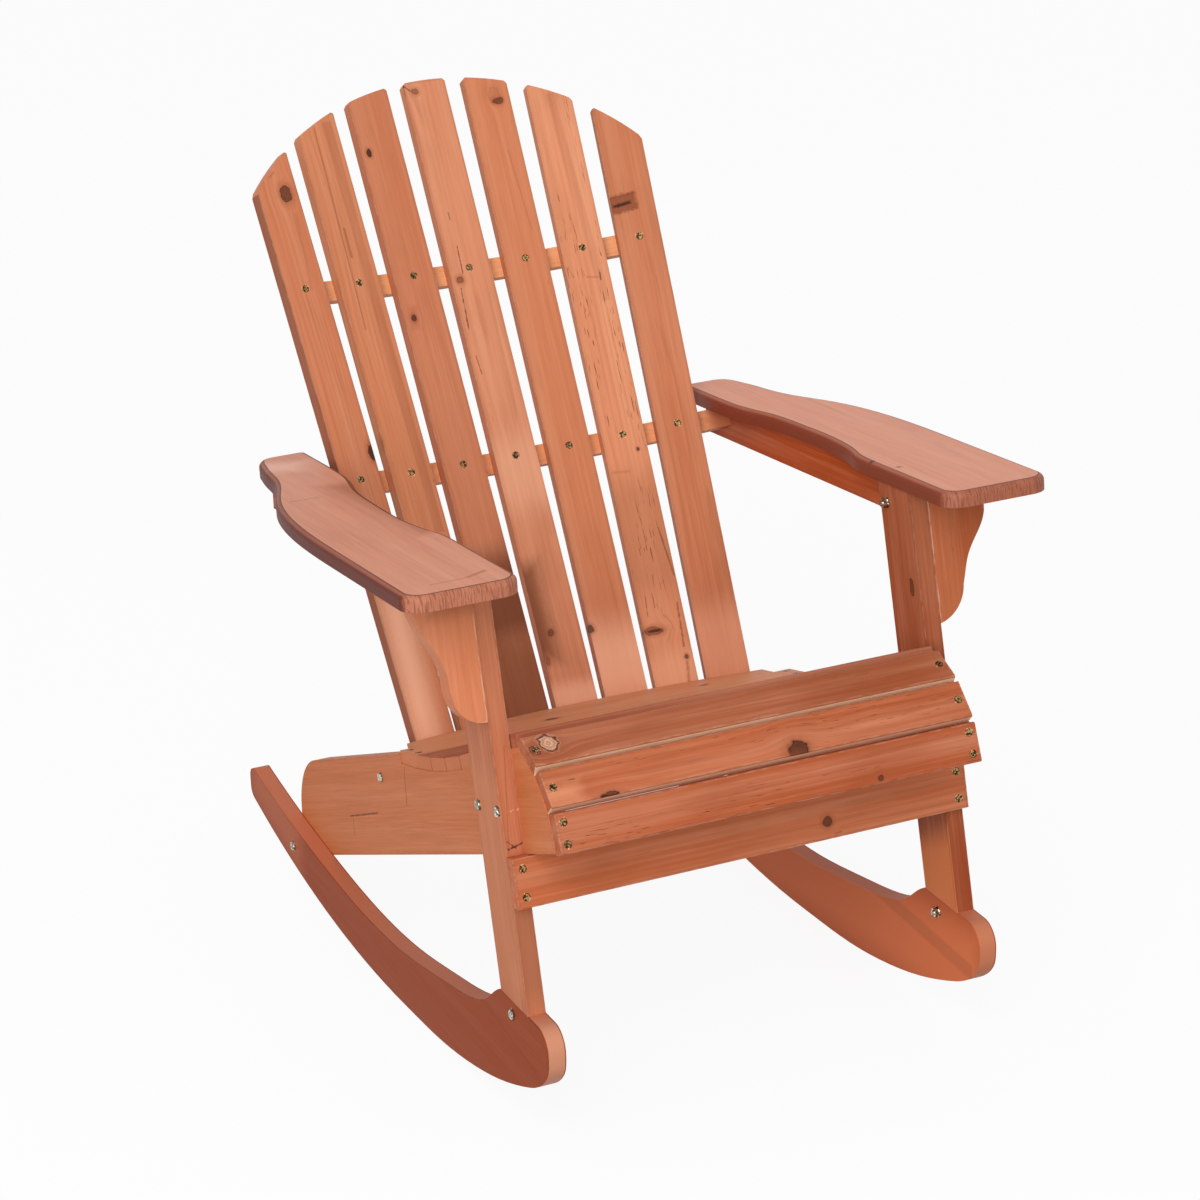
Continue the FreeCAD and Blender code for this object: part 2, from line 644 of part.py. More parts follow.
def arm():
    """The shaped arm board: broad in front, waisted near the back, cut off square at the tail."""
    inner_x = RAIL_OUTER_X + ARM_INNER_INSET
    width = ARM_OUTER_X - inner_x
    tail_share, straight_rear = ARM_INNER_REAR
    tail_inner_x = inner_x + tail_share * width
    tail_outer_x = ARM_OUTER_X - ARM_TAIL_SHARE * width
    front = ARM_FRONT_Y + ARM_CORNER_RADIUS
    rearward = arm_spot(0, 1) - arm_spot(0, 0)
    outer = Part.BSplineCurve()
    outer.interpolate(
        Points=[arm_spot(ARM_OUTER_X, ARM_OUTER_STRAIGHT_Y)]
        + [arm_spot(ARM_OUTER_X - share * width, y) for share, y in ARM_OUTER_LINE]
        + [arm_spot(tail_outer_x, ARM_REAR_Y)],
        InitialTangent=rearward, FinalTangent=X_AXIS * -1)
    inner = Part.BSplineCurve()
    inner.interpolate(
        Points=[arm_spot(tail_inner_x, straight_rear)]
        + [arm_spot(inner_x + share * width, y) for share, y in ARM_INNER_LINE]
        + [arm_spot(inner_x, ARM_INNER_STRAIGHT_Y)],
        InitialTangent=rearward * -1, FinalTangent=rearward * -1)
    edges = [
        arm_line((ARM_OUTER_X, front), (ARM_OUTER_X, ARM_OUTER_STRAIGHT_Y)),
        outer.toShape(),
        arm_line((tail_outer_x, ARM_REAR_Y), (tail_inner_x + ARM_TAIL_RADIUS, ARM_REAR_Y)),
        arm_corner(tail_inner_x, ARM_REAR_Y, ARM_TAIL_RADIUS, 1, -1),
        arm_line((tail_inner_x, ARM_REAR_Y - ARM_TAIL_RADIUS), (tail_inner_x, straight_rear)),
        inner.toShape(),
        arm_line((inner_x, ARM_INNER_STRAIGHT_Y), (inner_x, front)),
        arm_corner(inner_x, ARM_FRONT_Y, ARM_CORNER_RADIUS, 1, 1),
        arm_line((inner_x + ARM_CORNER_RADIUS, ARM_FRONT_Y), (ARM_OUTER_X - ARM_CORNER_RADIUS, ARM_FRONT_Y)),
        arm_corner(ARM_OUTER_X, ARM_FRONT_Y, ARM_CORNER_RADIUS, -1, 1),
    ]
    board = solid_from(edges, arm_out() * -ARM_BOARD)
    top = [edge for edge in board.Edges
           if all(abs((v.Point - arm_spot(0, 0)).dot(arm_out())) < 0.01 for v in edge.Vertexes)]
    return board.makeFillet(ARM_EDGE_RADIUS, top)


def support_front_y(z):
    return leg_front_y(z) + FRAME_BOARD / math.cos(math.radians(LEG_LEAN)) + BATTEN_GAP


def arm_support():
    """The board on edge under the arm, bolted to the leg and screwed to the middle batten."""
    top_below = ARM_BOARD
    bottom_below = ARM_BOARD + SUPPORT_HEIGHT
    corners = [
        side_point(*on_arm_plane(support_front_y, top_below)),
        side_point(SUPPORT_REAR_Y, arm_plane_z(SUPPORT_REAR_Y, top_below)),
        side_point(SUPPORT_REAR_Y, arm_plane_z(SUPPORT_REAR_Y, bottom_below)),
        side_point(*on_arm_plane(support_front_y, bottom_below)),
    ]
    board = solid_from(polygon(corners), X_AXIS * FRAME_BOARD)
    board.translate(X_AXIS * LEG_OUTER_X)
    return board


def bracket_axes():
    turn = math.radians(LEG_LEAN)
    up = Vector(0, math.sin(turn), math.cos(turn))
    rearward = Vector(0, math.cos(turn), -math.sin(turn))
    return up, rearward


def arm_bracket():
    """The curved bracket on the leg's outer face, flush with the leg's front edge."""
    up, rearward = bracket_axes()
    head = side_point(*on_arm_plane(leg_front_y, ARM_BOARD), LEG_OUTER_X)

    def spot(x, drop):
        return head + X_AXIS * x - up * drop

    width = BRACKET_CURVE[0][0]
    toe_middle, toe_end = BRACKET_TOE
    curve = Part.BSplineCurve()
    curve.interpolate([spot(*point) for point in BRACKET_CURVE])
    edges = [
        Part.makeLine(spot(0, -FRAME_BOARD), spot(width, -FRAME_BOARD)),
        Part.makeLine(spot(width, -FRAME_BOARD), spot(*BRACKET_CURVE[0])),
        curve.toShape(),
        Part.Arc(spot(*BRACKET_CURVE[-1]), spot(*toe_middle), spot(*toe_end)).toShape(),
        Part.makeLine(spot(*toe_end), spot(0, -FRAME_BOARD)),
    ]
    board = solid_from(edges, rearward * FRAME_BOARD)
    over = 2 * width
    cap = Part.makeBox(2 * over, 2 * over, over)
    fall = FreeCAD.Rotation(X_AXIS, -ARM_FALL)
    corner = arm_spot(LEG_OUTER_X - width, head.y - width) - arm_out() * ARM_BOARD
    cap.Placement = FreeCAD.Placement(corner, fall)
    return board.cut(cap)


def bracket_dowel_spots():
    up, rearward = bracket_axes()
    head = side_point(*on_arm_plane(leg_front_y, ARM_BOARD), LEG_OUTER_X)
    middle = head + rearward * (FRAME_BOARD / 2)
    return [middle - up * drop - X_AXIS * (DOWEL_LENGTH / 2) for drop in DOWEL_DROPS]


# Fasteners

def screw(head_point, out, length):
    """A countersunk cross-recess wood screw, its head flush with the face."""
    into = out * -1
    head = Part.makeCone(SCREW_HEAD_RADIUS, SCREW_SHANK_RADIUS, SCREW_HEAD_HEIGHT, ORIGIN, Vector(0, 0, -1))
    shank_length = length - SCREW_HEAD_HEIGHT - 3
    shank = cylinder(SCREW_SHANK_RADIUS, shank_length, Vector(0, 0, -SCREW_HEAD_HEIGHT), Vector(0, 0, -1))
    tip = Part.makeCone(SCREW_SHANK_RADIUS, 0.3, 3, Vector(0, 0, -SCREW_HEAD_HEIGHT - shank_length),
                        Vector(0, 0, -1))
    long, wide, deep = SCREW_CROSS_LENGTH, SCREW_CROSS_WIDTH, SCREW_CROSS_DEPTH
    cross = Part.makeBox(long, wide, deep, Vector(-long / 2, -wide / 2, -deep))
    cross = cross.fuse(Part.makeBox(wide, long, deep, Vector(-wide / 2, -long / 2, -deep)))
    body = head.fuse([shank, tip]).removeSplitter().cut(cross)
    body.Placement = FreeCAD.Placement(head_point, FreeCAD.Rotation(Vector(0, 0, -1), into))
    return body


def screw_hole(head_point, out, length):
    into = out * -1
    sink = Part.makeCone(SCREW_HEAD_RADIUS, SCREW_SHANK_RADIUS, SCREW_HEAD_HEIGHT, head_point, into)
    radius = SCREW_SHANK_RADIUS + SHANK_CLEARANCE
    return sink.fuse(cylinder(radius, length + SHANK_CLEARANCE, head_point, into))


def bolt(y, z, head_x, grip):
    """A round-head bolt from outside, with its washer and nut on the inner face."""
    head = cylinder(BOLT_HEAD_RADIUS, BOLT_HEAD_HEIGHT, Vector(head_x, y, z), X_AXIS)
    rim = [edge for edge in head.Edges if len(edge.Vertexes) == 1 and abs(edge.CenterOfMass.x - head_x) > 1]
    head = head.makeFillet(BOLT_HEAD_HEIGHT * 0.6, rim)
    length = grip + WASHER_HEIGHT + NUT_HEIGHT + BOLT_PROUD
    shank = cylinder(BOLT_RADIUS, length, Vector(head_x, y, z), X_AXIS * -1)
    return head.fuse(shank).removeSplitter()


def bolt_washer(y, z, face_x):
    ring = cylinder(WASHER_RADIUS, WASHER_HEIGHT, Vector(face_x, y, z), X_AXIS * -1)
    return ring.cut(cylinder(BOLT_RADIUS + BOLT_HOLE_CLEARANCE, WASHER_HEIGHT, Vector(face_x, y, z),
                             X_AXIS * -1))


def bolt_nut(y, z, face_x):
    """A hexagon nut, threaded on the bolt, so its bore is the bolt's own radius."""
    x = face_x - WASHER_HEIGHT
    corner_radius = NUT_FLATS / math.sqrt(3)
    corners = []
    for n in range(6):
        turn = math.radians(60 * n)
        corners.append(Vector(x, y + corner_radius * math.cos(turn), z + corner_radius * math.sin(turn)))
    body = solid_from(polygon(corners), X_AXIS * -NUT_HEIGHT)
    return body.cut(cylinder(BOLT_RADIUS, NUT_HEIGHT, Vector(x, y, z), X_AXIS * -1))


def bolt_hole(y, z, from_x, to_x):
    return cylinder(BOLT_RADIUS + BOLT_HOLE_CLEARANCE, to_x - from_x, Vector(from_x, y, z), X_AXIS)


def lag_screw(y, z, head_x):
    head = cylinder(BOLT_HEAD_RADIUS, BOLT_HEAD_HEIGHT, Vector(head_x, y, z), X_AXIS)
    rim = [edge for edge in head.Edges if len(edge.Vertexes) == 1 and abs(edge.CenterOfMass.x - head_x) > 1]
    head = head.makeFillet(BOLT_HEAD_HEIGHT * 0.6, rim)
    shank = cylinder(BOLT_RADIUS, LAG_LENGTH, Vector(head_x, y, z), X_AXIS * -1)
    return head.fuse(shank).removeSplitter()


def middle_batten_bolt():
    """Y and Z of the screw that goes through the arm support into the middle batten's end."""
    bite_middle = (SUPPORT_OUTER_X - LAG_LENGTH + LEG_OUTER_X) / 2
    drop = bite_middle ** 2 / (2 * cone_radius(MIDDLE_BATTEN_AT))
    spot = back_spot(0, MIDDLE_BATTEN_AT, BACK_SLAT_BOARD + BATTEN_GAP + BATTEN_DEPTH / 2 - drop)
    return spot.y, spot.z


def support_screw_spots():
    """Screws up through the arm support into the arm, as head points on its lower edge."""
    x = (LEG_OUTER_X + SUPPORT_OUTER_X) / 2
    spots = []
    for y in SUPPORT_SCREW_YS:
        spots.append((Vector(x, y, arm_plane_z(y, ARM_BOARD + SUPPORT_HEIGHT)), arm_out() * -1))
    return spots


# Assembly

def build():
    nodes = {}
    seat_screws = seat_screw_spots()
    apron_screws = apron_screw_spots()
    back_screws = back_screw_spots()
    support_screws = support_screw_spots()
    dowels = bracket_dowel_spots()

    seat_holes = [screw_hole(p, out, SCREW_LENGTH) for p, out in seat_screws]
    apron_holes = [screw_hole(p, out, SCREW_LENGTH) for p, out in apron_screws]
    back_holes = [screw_hole(p, out, SCREW_LENGTH) for p, out in back_screws]
    support_holes = [screw_hole(p, out, ARM_SCREW_LENGTH) for p, out in support_screws]
    dowel_holes = [cylinder(DOWEL_RADIUS + DOWEL_CLEARANCE, DOWEL_LENGTH, p, X_AXIS) for p in dowels]

    inside = RAIL_INNER_X - 1
    outside = SUPPORT_OUTER_X + 1
    leg_rail_holes = [bolt_hole(y, z, inside, outside) for y, z in LEG_RAIL_BOLTS]
    tenon_hole = bolt_hole(*TENON_BOLT, inside, outside)
    rocker_rail_hole = bolt_hole(*ROCKER_RAIL_BOLT, inside, outside)
    support_leg_hole = bolt_hole(*SUPPORT_LEG_BOLT, inside, outside)
    lower_lag_hole = bolt_hole(*LOWER_BATTEN_BOLT, RAIL_OUTER_X - LAG_LENGTH - 1, outside)
    middle_lag = middle_batten_bolt()
    middle_lag_hole = bolt_hole(*middle_lag, SUPPORT_OUTER_X - LAG_LENGTH - 1, outside)

    sided = {
        "rocker": cut_all(rocker(), [tenon_hole, rocker_rail_hole]),
        "front_leg": cut_all(front_leg(), leg_rail_holes + [tenon_hole, support_leg_hole]
                             + apron_holes + dowel_holes),
        "seat_rail": cut_all(seat_rail(), seat_holes + leg_rail_holes
                             + [rocker_rail_hole, lower_lag_hole, apron()]),
        "arm": cut_all(arm(), support_holes),
        "arm_support": cut_all(arm_support(), support_holes + [support_leg_hole, middle_lag_hole]),
        "arm_bracket": cut_all(arm_bracket(), dowel_holes),
    }
    for name, shape in sided.items():
        nodes[name + "_left"] = shape
        nodes[name + "_right"] = mirrored(shape)

    both_apron_holes = apron_holes + [mirrored(hole) for hole in apron_holes]
    nodes["front_apron"] = cut_all(apron(), both_apron_holes)
    both_seat_holes = seat_holes + [mirrored(hole) for hole in seat_holes]
    for n, slat in enumerate(SLATS):
        last = n == len(SLATS) - 1
        shape = rear_seat_slat(slat) if last else seat_slat(slat)
        nodes["seat_slat_%d" % (n + 1)] = cut_all(shape, both_seat_holes)
    for n in range(BACK_SLATS):
        shape = back_slat(n - BACK_SLATS // 2)
        nodes["back_slat_%d" % (n + 1)] = cut_all(shape, back_holes)
    upper_at = upper_batten_at()
    upper_half = slat_x(BACK_SLATS // 2, upper_at) + UPPER_BATTEN_OVERHANG
    lower_holes = back_holes + [lower_lag_hole, mirrored(lower_lag_hole)]
    middle_holes = back_holes + [middle_lag_hole, mirrored(middle_lag_hole)]
    nodes["back_batten_lower"] = cut_all(straight_batten(LOWER_BATTEN_AT, RAIL_INNER_X, LOWER_BATTEN_DEPTH),
                                        lower_holes)
    nodes["back_batten_middle"] = cut_all(curved_batten(MIDDLE_BATTEN_AT, LEG_OUTER_X), middle_holes)
    nodes["back_batten_upper"] = cut_all(curved_batten(upper_at, upper_half), back_holes)

    frame_bolts = [bolt(y, z, LEG_OUTER_X, LEG_BOARD + FRAME_BOARD)
                   for y, z in LEG_RAIL_BOLTS + (ROCKER_RAIL_BOLT,)]
    frame_bolts.append(bolt(*SUPPORT_LEG_BOLT, SUPPORT_OUTER_X, FRAME_BOARD + LEG_BOARD))
    nut_faces = [(y, z, RAIL_INNER_X) for y, z in LEG_RAIL_BOLTS + (ROCKER_RAIL_BOLT,)]
    nut_faces += [(*SUPPORT_LEG_BOLT, RAIL_OUTER_X), (*TENON_BOLT, RAIL_OUTER_X)]
    one_side = {
        "seat_slat_screws": [screw(p, out, SCREW_LENGTH) for p, out in seat_screws],
        "apron_screws": [screw(p, out, SCREW_LENGTH) for p, out in apron_screws],
        "arm_screws": [screw(p, out, ARM_SCREW_LENGTH) for p, out in support_screws],
        "bracket_dowels": [cylinder(DOWEL_RADIUS, DOWEL_LENGTH, p, X_AXIS) for p in dowels],
        "frame_bolts": frame_bolts,
        "rocker_tenon_bolts": [bolt(*TENON_BOLT, LEG_OUTER_X, LEG_BOARD)],
        "batten_lag_screws": [lag_screw(*LOWER_BATTEN_BOLT, RAIL_OUTER_X),
                              lag_screw(*middle_lag, SUPPORT_OUTER_X)],
        "bolt_washers": [bolt_washer(*face) for face in nut_faces],
        "bolt_nuts": [bolt_nut(*face) for face in nut_faces],
    }
    for name, shapes in one_side.items():
        nodes[name] = Part.makeCompound(shapes + [mirrored(shape) for shape in shapes])
    nodes["back_slat_screws"] = Part.makeCompound([screw(p, out, SCREW_LENGTH) for p, out in back_screws])
    return nodes


def export(nodes):
    os.makedirs("parts", exist_ok=True)
    for name, shape in nodes.items():
        placed = shape.copy()
        placed.translate(Vector(0, CENTRE_SHIFT_Y, 0))
        placed.exportStep("parts/%s.step" % name)


def report(nodes):
    """Print what the checks by eye need: validity, volumes, the whole box and the balance point."""
    whole = Part.makeCompound(list(nodes.values()))
    box = whole.BoundBox
    print("box", [round(v + CENTRE_SHIFT_Y * (k in (1, 4)), 2) for k, v in
                  enumerate((box.XMin, box.YMin, box.ZMin, box.XMax, box.YMax, box.ZMax))])
    total = sum(shape.Volume for shape in nodes.values())
    moment = Vector(0, 0, 0)
    for name, shape in nodes.items():
        if not shape.isValid() or shape.Volume <= 0:
            print("bad", name)
        for solid in shape.Solids:
            moment += solid.CenterOfMass * solid.Volume
    balance = moment * (1 / total)
    print("volume litres", round(total / 1e6, 2), "balance Y, Z", round(balance.y, 2), round(balance.z, 2))
    ends = SLATS[-1]
    along, _ = slat_axes(ends[1])
    rear = Vector(0, *ends[0]) + along * ends[2]
    print("rear seat slat corner", round(rear.y, 1), round(rear.z, 1))


if __name__ == "__main__":
    pieces = build()
    report(pieces)
    export(pieces)
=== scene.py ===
import math

import bmesh
import bpy
from mathutils import Matrix, Vector


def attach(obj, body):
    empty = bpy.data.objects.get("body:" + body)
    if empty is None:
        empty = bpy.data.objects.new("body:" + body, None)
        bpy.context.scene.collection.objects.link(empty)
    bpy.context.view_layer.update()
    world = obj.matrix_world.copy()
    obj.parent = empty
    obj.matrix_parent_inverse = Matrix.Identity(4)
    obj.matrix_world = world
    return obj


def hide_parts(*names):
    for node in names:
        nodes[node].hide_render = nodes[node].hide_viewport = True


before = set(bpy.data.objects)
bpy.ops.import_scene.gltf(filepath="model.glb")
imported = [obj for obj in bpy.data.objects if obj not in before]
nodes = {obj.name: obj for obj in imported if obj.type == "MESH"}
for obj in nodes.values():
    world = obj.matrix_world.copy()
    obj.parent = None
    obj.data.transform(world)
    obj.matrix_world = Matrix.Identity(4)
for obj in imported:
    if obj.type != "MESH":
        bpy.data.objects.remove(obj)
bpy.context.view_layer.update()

# Camera: place in metres, turn in degrees, focal length in pixels of the photograph's width
CAMERA_PLACE = (-1.68155, -3.76367, 2.10112)
CAMERA_YAW = 24.21
CAMERA_PITCH = 21.87
CAMERA_ROLL = -1.68
FOCAL_PIXELS = 3783.7
PHOTO_PIXELS = 1200
SENSOR_WIDTH = 36.0
CLIP_START, CLIP_END = 0.1, 60

# Tone of each board, as sRGB values out of 255: mostly its stain, but on boards whose seen faces lie in
# shade inside the frame, such as front_leg_left, the darker tone is partly painted shade
TONES = {
    "back_slat_1": (214, 135, 94), "back_slat_2": (216, 141, 99), "back_slat_3": (206, 127, 89),
    "back_slat_4": (223, 148, 109), "back_slat_5": (213, 134, 93), "back_slat_6": (231, 156, 114),
    "back_slat_7": (207, 129, 88),
    "back_batten_upper": (250, 188, 134), "back_batten_middle": (250, 180, 126),
    "back_batten_lower": (213, 126, 88),
    "seat_slat_1": (183, 99, 60), "seat_slat_2": (186, 100, 59), "seat_slat_3": (178, 103, 67),
    "seat_slat_11": (228, 160, 116), "front_apron": (200, 112, 68),
    "front_leg_left": (161, 81, 44), "front_leg_right": (195, 119, 83),
    "seat_rail_left": (172, 96, 62), "seat_rail_right": (206, 121, 73),
    "rocker_left": (163, 63, 18), "rocker_right": (152, 62, 16),
    "arm_left": (233, 158, 128), "arm_right": (224, 157, 130),
    "arm_support_left": (182, 86, 35), "arm_support_right": (164, 84, 47),
    "arm_bracket_left": (188, 101, 58), "arm_bracket_right": (220, 136, 94),
}
SEAT_TONE = (178, 104, 74)
PALE_EDGE = (226, 172, 142)
KNOT_DARK = (62, 32, 22)
KNOT_BROWN = (112, 58, 36)
KNOT_WARM = (156, 82, 52)
KNOT_PALE = (232, 176, 142)
PITCH = (58, 28, 16)
SHADE = (140, 76, 50)
YELLOW_PLATE, YELLOW_STAIN = (188, 158, 104), (58, 42, 26)
BRIGHT_PLATE, BRIGHT_STAIN = (216, 212, 198), (112, 106, 92)
DOWEL_TONE = (214, 186, 146)
DOWEL_FIBRE = (180, 140, 96)
THIN_STAIN = (246, 182, 146)
SIDE_STAIN = (128, 70, 54)
RESIN = (104, 52, 30)
# Painted light: a pale strip that lifts the shade in the gaps between the front seat slats
GAP_LIGHT = (244, 204, 168)
RAIL_STAIN = (208, 122, 78)
# Painted shade on the ends of the middle batten, next to the arm supports
BATTEN_END_SHADE = (184, 103, 67)
END_HATCH = (104, 50, 34)
ARM_LINE = (74, 30, 22)
ROCKER_RIM = (224, 138, 104)
ROCKER_NOSES = {"rocker_left": (217, 142, 106), "rocker_right": (230, 164, 132)}
UNDER_NOSE = (120, 64, 46)

# What is left of a linear colour where the wood is darker or redder
DARKER = (0.60, 0.50, 0.43, 1.0)
REDDER = (0.97, 0.84, 0.82, 1.0)

# Directions of faces and lengths: x to the photograph's right, y back, z up
ACROSS, BACKWARD, PHOTO_LEFT = (1, 0, 0), (0, 1, 0), (-1, 0, 0)
BACK_FACE, BACK_UP = (0, -0.86, 0.51), (0, 0.51, 0.86)
LEG_FRONT, LEG_UP = (0, -0.97, 0.24), (0, 0.24, 0.97)
TOP_FACE, ARM_BACK = (0, 0.1, 1), (0, 1, -0.1)
RAIL_BACK = (0, 0.92, -0.39)
FRONT_SLAT_FACES = {1: (0, -0.9, 0.4), 2: (0, -0.67, 0.74)}
LEG_TILT = math.radians(13.73)

# How close, as a cosine, a normal has to be to count as the face, the side, or the same flat face
FACE_CLOSE, SIDE_CLOSE, SAME_FACE = 0.75, 0.9, 0.9995

# Growth rings to the metre
RINGS = 290.0
# A fastener's head counts as showing when its top is this near to the face, in metres
HEAD_REACH = 0.004
# Corners within this distance of each other, in metres, count as level
SAME_PLACE = 1e-5
# A mark is full down to the first depth below its face, and gone at the second, in metres
MARK_DEPTH = (0.0010, 0.0020)
# Specular level of the stained wood, and how much of it a gloss of 1 would add
WOOD_SPECULAR, GLOSS_SPECULAR = 0.14, 1.5
# Gloss of the smoother boards, which is taken off their roughness
ARM_GLOSS = {"arm_left": 0.06, "arm_right": 0.03}


# Camera

def camera_axes():
    """The camera's right, up and forward directions in the row frame."""
    yaw, pitch, roll = (math.radians(v) for v in (CAMERA_YAW, CAMERA_PITCH, CAMERA_ROLL))
    forward = Vector((math.sin(yaw) * math.cos(pitch), math.cos(yaw) * math.cos(pitch), -math.sin(pitch)))
    level = Vector((math.cos(yaw), -math.sin(yaw), 0))
    upright = level.cross(forward)
    right = level * math.cos(roll) + upright * math.sin(roll)
    up = upright * math.cos(roll) - level * math.sin(roll)
    return right, up, forward


def make_camera():
    right, up, forward = camera_axes()
    data = bpy.data.cameras.new("view_camera")
    data.sensor_width = SENSOR_WIDTH
    data.lens = FOCAL_PIXELS / PHOTO_PIXELS * SENSOR_WIDTH
    data.clip_start = CLIP_START
    data.clip_end = CLIP_END
    camera = bpy.data.objects.new("view_camera", data)
    turn = Matrix((right, up, -forward)).transposed().to_4x4()
    camera.matrix_world = Matrix.Translation(CAMERA_PLACE) @ turn
    bpy.context.scene.collection.objects.link(camera)
    bpy.context.scene.camera = camera


def pixel_ray(x, y):
    """Direction from the camera through a pixel of the photograph."""
    right, up, forward = camera_axes()
    half = PHOTO_PIXELS / 2
    return (forward * FOCAL_PIXELS + right * (x - half) - up * (y - half)).normalized()


# Board frames: every board gets its own axes, so that the grain runs along it

class Board:
    """Axes, middle and half sizes of one board, measured on its mesh."""

    def __init__(self, name, face, length, straight=True):
        self.name = name
        mesh = nodes[name].data
        areas = [(polygon.normal.copy(), polygon.area) for polygon in mesh.polygons]
        self.out = self.mean_normal(areas, Vector(face).normalized(), FACE_CLOSE)
        length = Vector(length).normalized()
        if straight:
            side = self.out.cross(length).normalized()
            side = self.mean_normal(areas, side, SIDE_CLOSE)
            self.along = side.cross(self.out).normalized()
            if self.along.dot(length) < 0:
                self.along.negate()
        else:
            self.along = (length - self.out * length.dot(self.out)).normalized()
        self.across = self.out.cross(self.along).normalized()
        middle, half = Vector(), []
        for axis in (self.along, self.across, self.out):
            places = [vertex.co.dot(axis) for vertex in mesh.vertices]
            middle += axis * ((min(places) + max(places)) / 2)
            half.append((max(places) - min(places)) / 2)
        self.middle = middle
        self.half = Vector(half)

    @staticmethod
    def mean_normal(areas, guess, close):
        """The direction of the largest flat face near a guess."""
        near = [(area, normal) for normal, area in areas if normal.dot(guess) > close]
        if not near:
            return guess
        largest = max(near, key=lambda pair: pair[0])[1]
        total = Vector()
        for area, normal in near:
            if normal.dot(largest) > SAME_FACE:
                total += normal * area
        return total.normalized()

    def turn(self):
        """The turn from the board's own axes to the row frame."""
        return Matrix((self.along, self.across, self.out)).transposed()

    def spot(self, pixel, face=(0, 0, 1)):
        """Where a pixel of the photograph falls on one of the board's faces, in the board's axes."""
        turn = self.turn().transposed()
        face = Vector(face)
        eye = turn @ (Vector(CAMERA_PLACE) - self.middle)
        ray = turn @ pixel_ray(*pixel)
        reach = (abs(self.half.dot(face)) - eye.dot(face)) / ray.dot(face)
        return eye + ray * reach


# Shader graphs

def linear(tone):
    """A linear colour from sRGB values out of 255."""
    values = []
    for value in tone:
        share = value / 255
        values.append(share / 12.92 if share <= 0.04045 else ((share + 0.055) / 1.055) ** 2.4)
    return (*values, 1.0)


class Graph:
    """Short calls that add shader nodes and join them."""

    def __init__(self, tree):
        self.tree = tree

    def add(self, kind, **settings):
        made = self.tree.nodes.new(kind)
        for key, value in settings.items():
            setattr(made, key, value)
        return made

    def put(self, socket, value):
        if isinstance(value, bpy.types.NodeSocket):
            self.tree.links.new(value, socket)
        elif value is not None:
            socket.default_value = value

    def math(self, operation, a, b=None, c=None, clamp=False):
        made = self.add("ShaderNodeMath", operation=operation, use_clamp=clamp)
        for socket, value in zip(made.inputs, (a, b, c)):
            self.put(socket, value)
        return made.outputs[0]

    def times(self, first, *others, clamp=False):
        """The product of them all; only the last step is clamped."""
        for other in others[:-1]:
            first = self.math("MULTIPLY", first, other)
        return self.math("MULTIPLY", first, others[-1], clamp=clamp)

    def plus(self, a, b):
        return self.math("ADD", a, b)

    def minus(self, a, b):
        return self.math("SUBTRACT", a, b)

    def absolute(self, a):
        return self.math("ABSOLUTE", a)

    def vector(self, operation, a, b=None):
        made = self.add("ShaderNodeVectorMath", operation=operation)
        self.put(made.inputs[0], a)
        self.put(made.inputs[1], b)
        return made.outputs["Value"] if operation in ("LENGTH", "DOT_PRODUCT") else made.outputs["Vector"]

    def split(self, vector):
        made = self.add("ShaderNodeSeparateXYZ")
        self.put(made.inputs[0], vector)
        return made.outputs

    def join(self, x, y, z):
        made = self.add("ShaderNodeCombineXYZ")
        for socket, value in zip(made.inputs, (x, y, z)):
            self.put(socket, value)
        return made.outputs[0]

    def noise(self, place, fineness, detail=3.0, roughness=0.5, distortion=0.0):
        """Noise with its own fineness along each axis, in cells to the metre."""
        made = self.add("ShaderNodeTexNoise")
        self.put(made.inputs["Vector"], self.vector("MULTIPLY", place, fineness))
        made.inputs["Scale"].default_value = 1.0
        made.inputs["Detail"].default_value = detail
        made.inputs["Roughness"].default_value = roughness
        made.inputs["Distortion"].default_value = distortion
        return made.outputs[0]

    def smooth(self, value, low, high, to_low=0.0, to_high=1.0):
        made = self.add("ShaderNodeMapRange", interpolation_type="SMOOTHSTEP")
        for socket, given in zip(made.inputs, (value, low, high, to_low, to_high)):
            self.put(socket, given)
        return made.outputs[0]

    def fall(self, value, low, high):
        """1 below low, 0 above high."""
        return self.smooth(value, low, high, 1.0, 0.0)

    def mix(self, share, a, b, blend="MIX"):
        made = self.add("ShaderNodeMix", data_type="RGBA", blend_type=blend)
        self.put(made.inputs[0], share)
        self.put(made.inputs[6], a)
        self.put(made.inputs[7], b)
        return made.outputs[2]


def new_group(name, inputs, outputs):
    """An empty shader group with named sockets."""
    group = bpy.data.node_groups.new(name, "ShaderNodeTree")
    for label, kind, value in inputs:
        socket = group.interface.new_socket(label, in_out="INPUT", socket_type=kind)
        if value is not None:
            socket.default_value = value
    for label, kind in outputs:
        group.interface.new_socket(label, in_out="OUTPUT", socket_type=kind)
    graph = Graph(group)
    source = graph.add("NodeGroupInput").outputs
    target = graph.add("NodeGroupOutput").inputs
    return group, graph, source, target


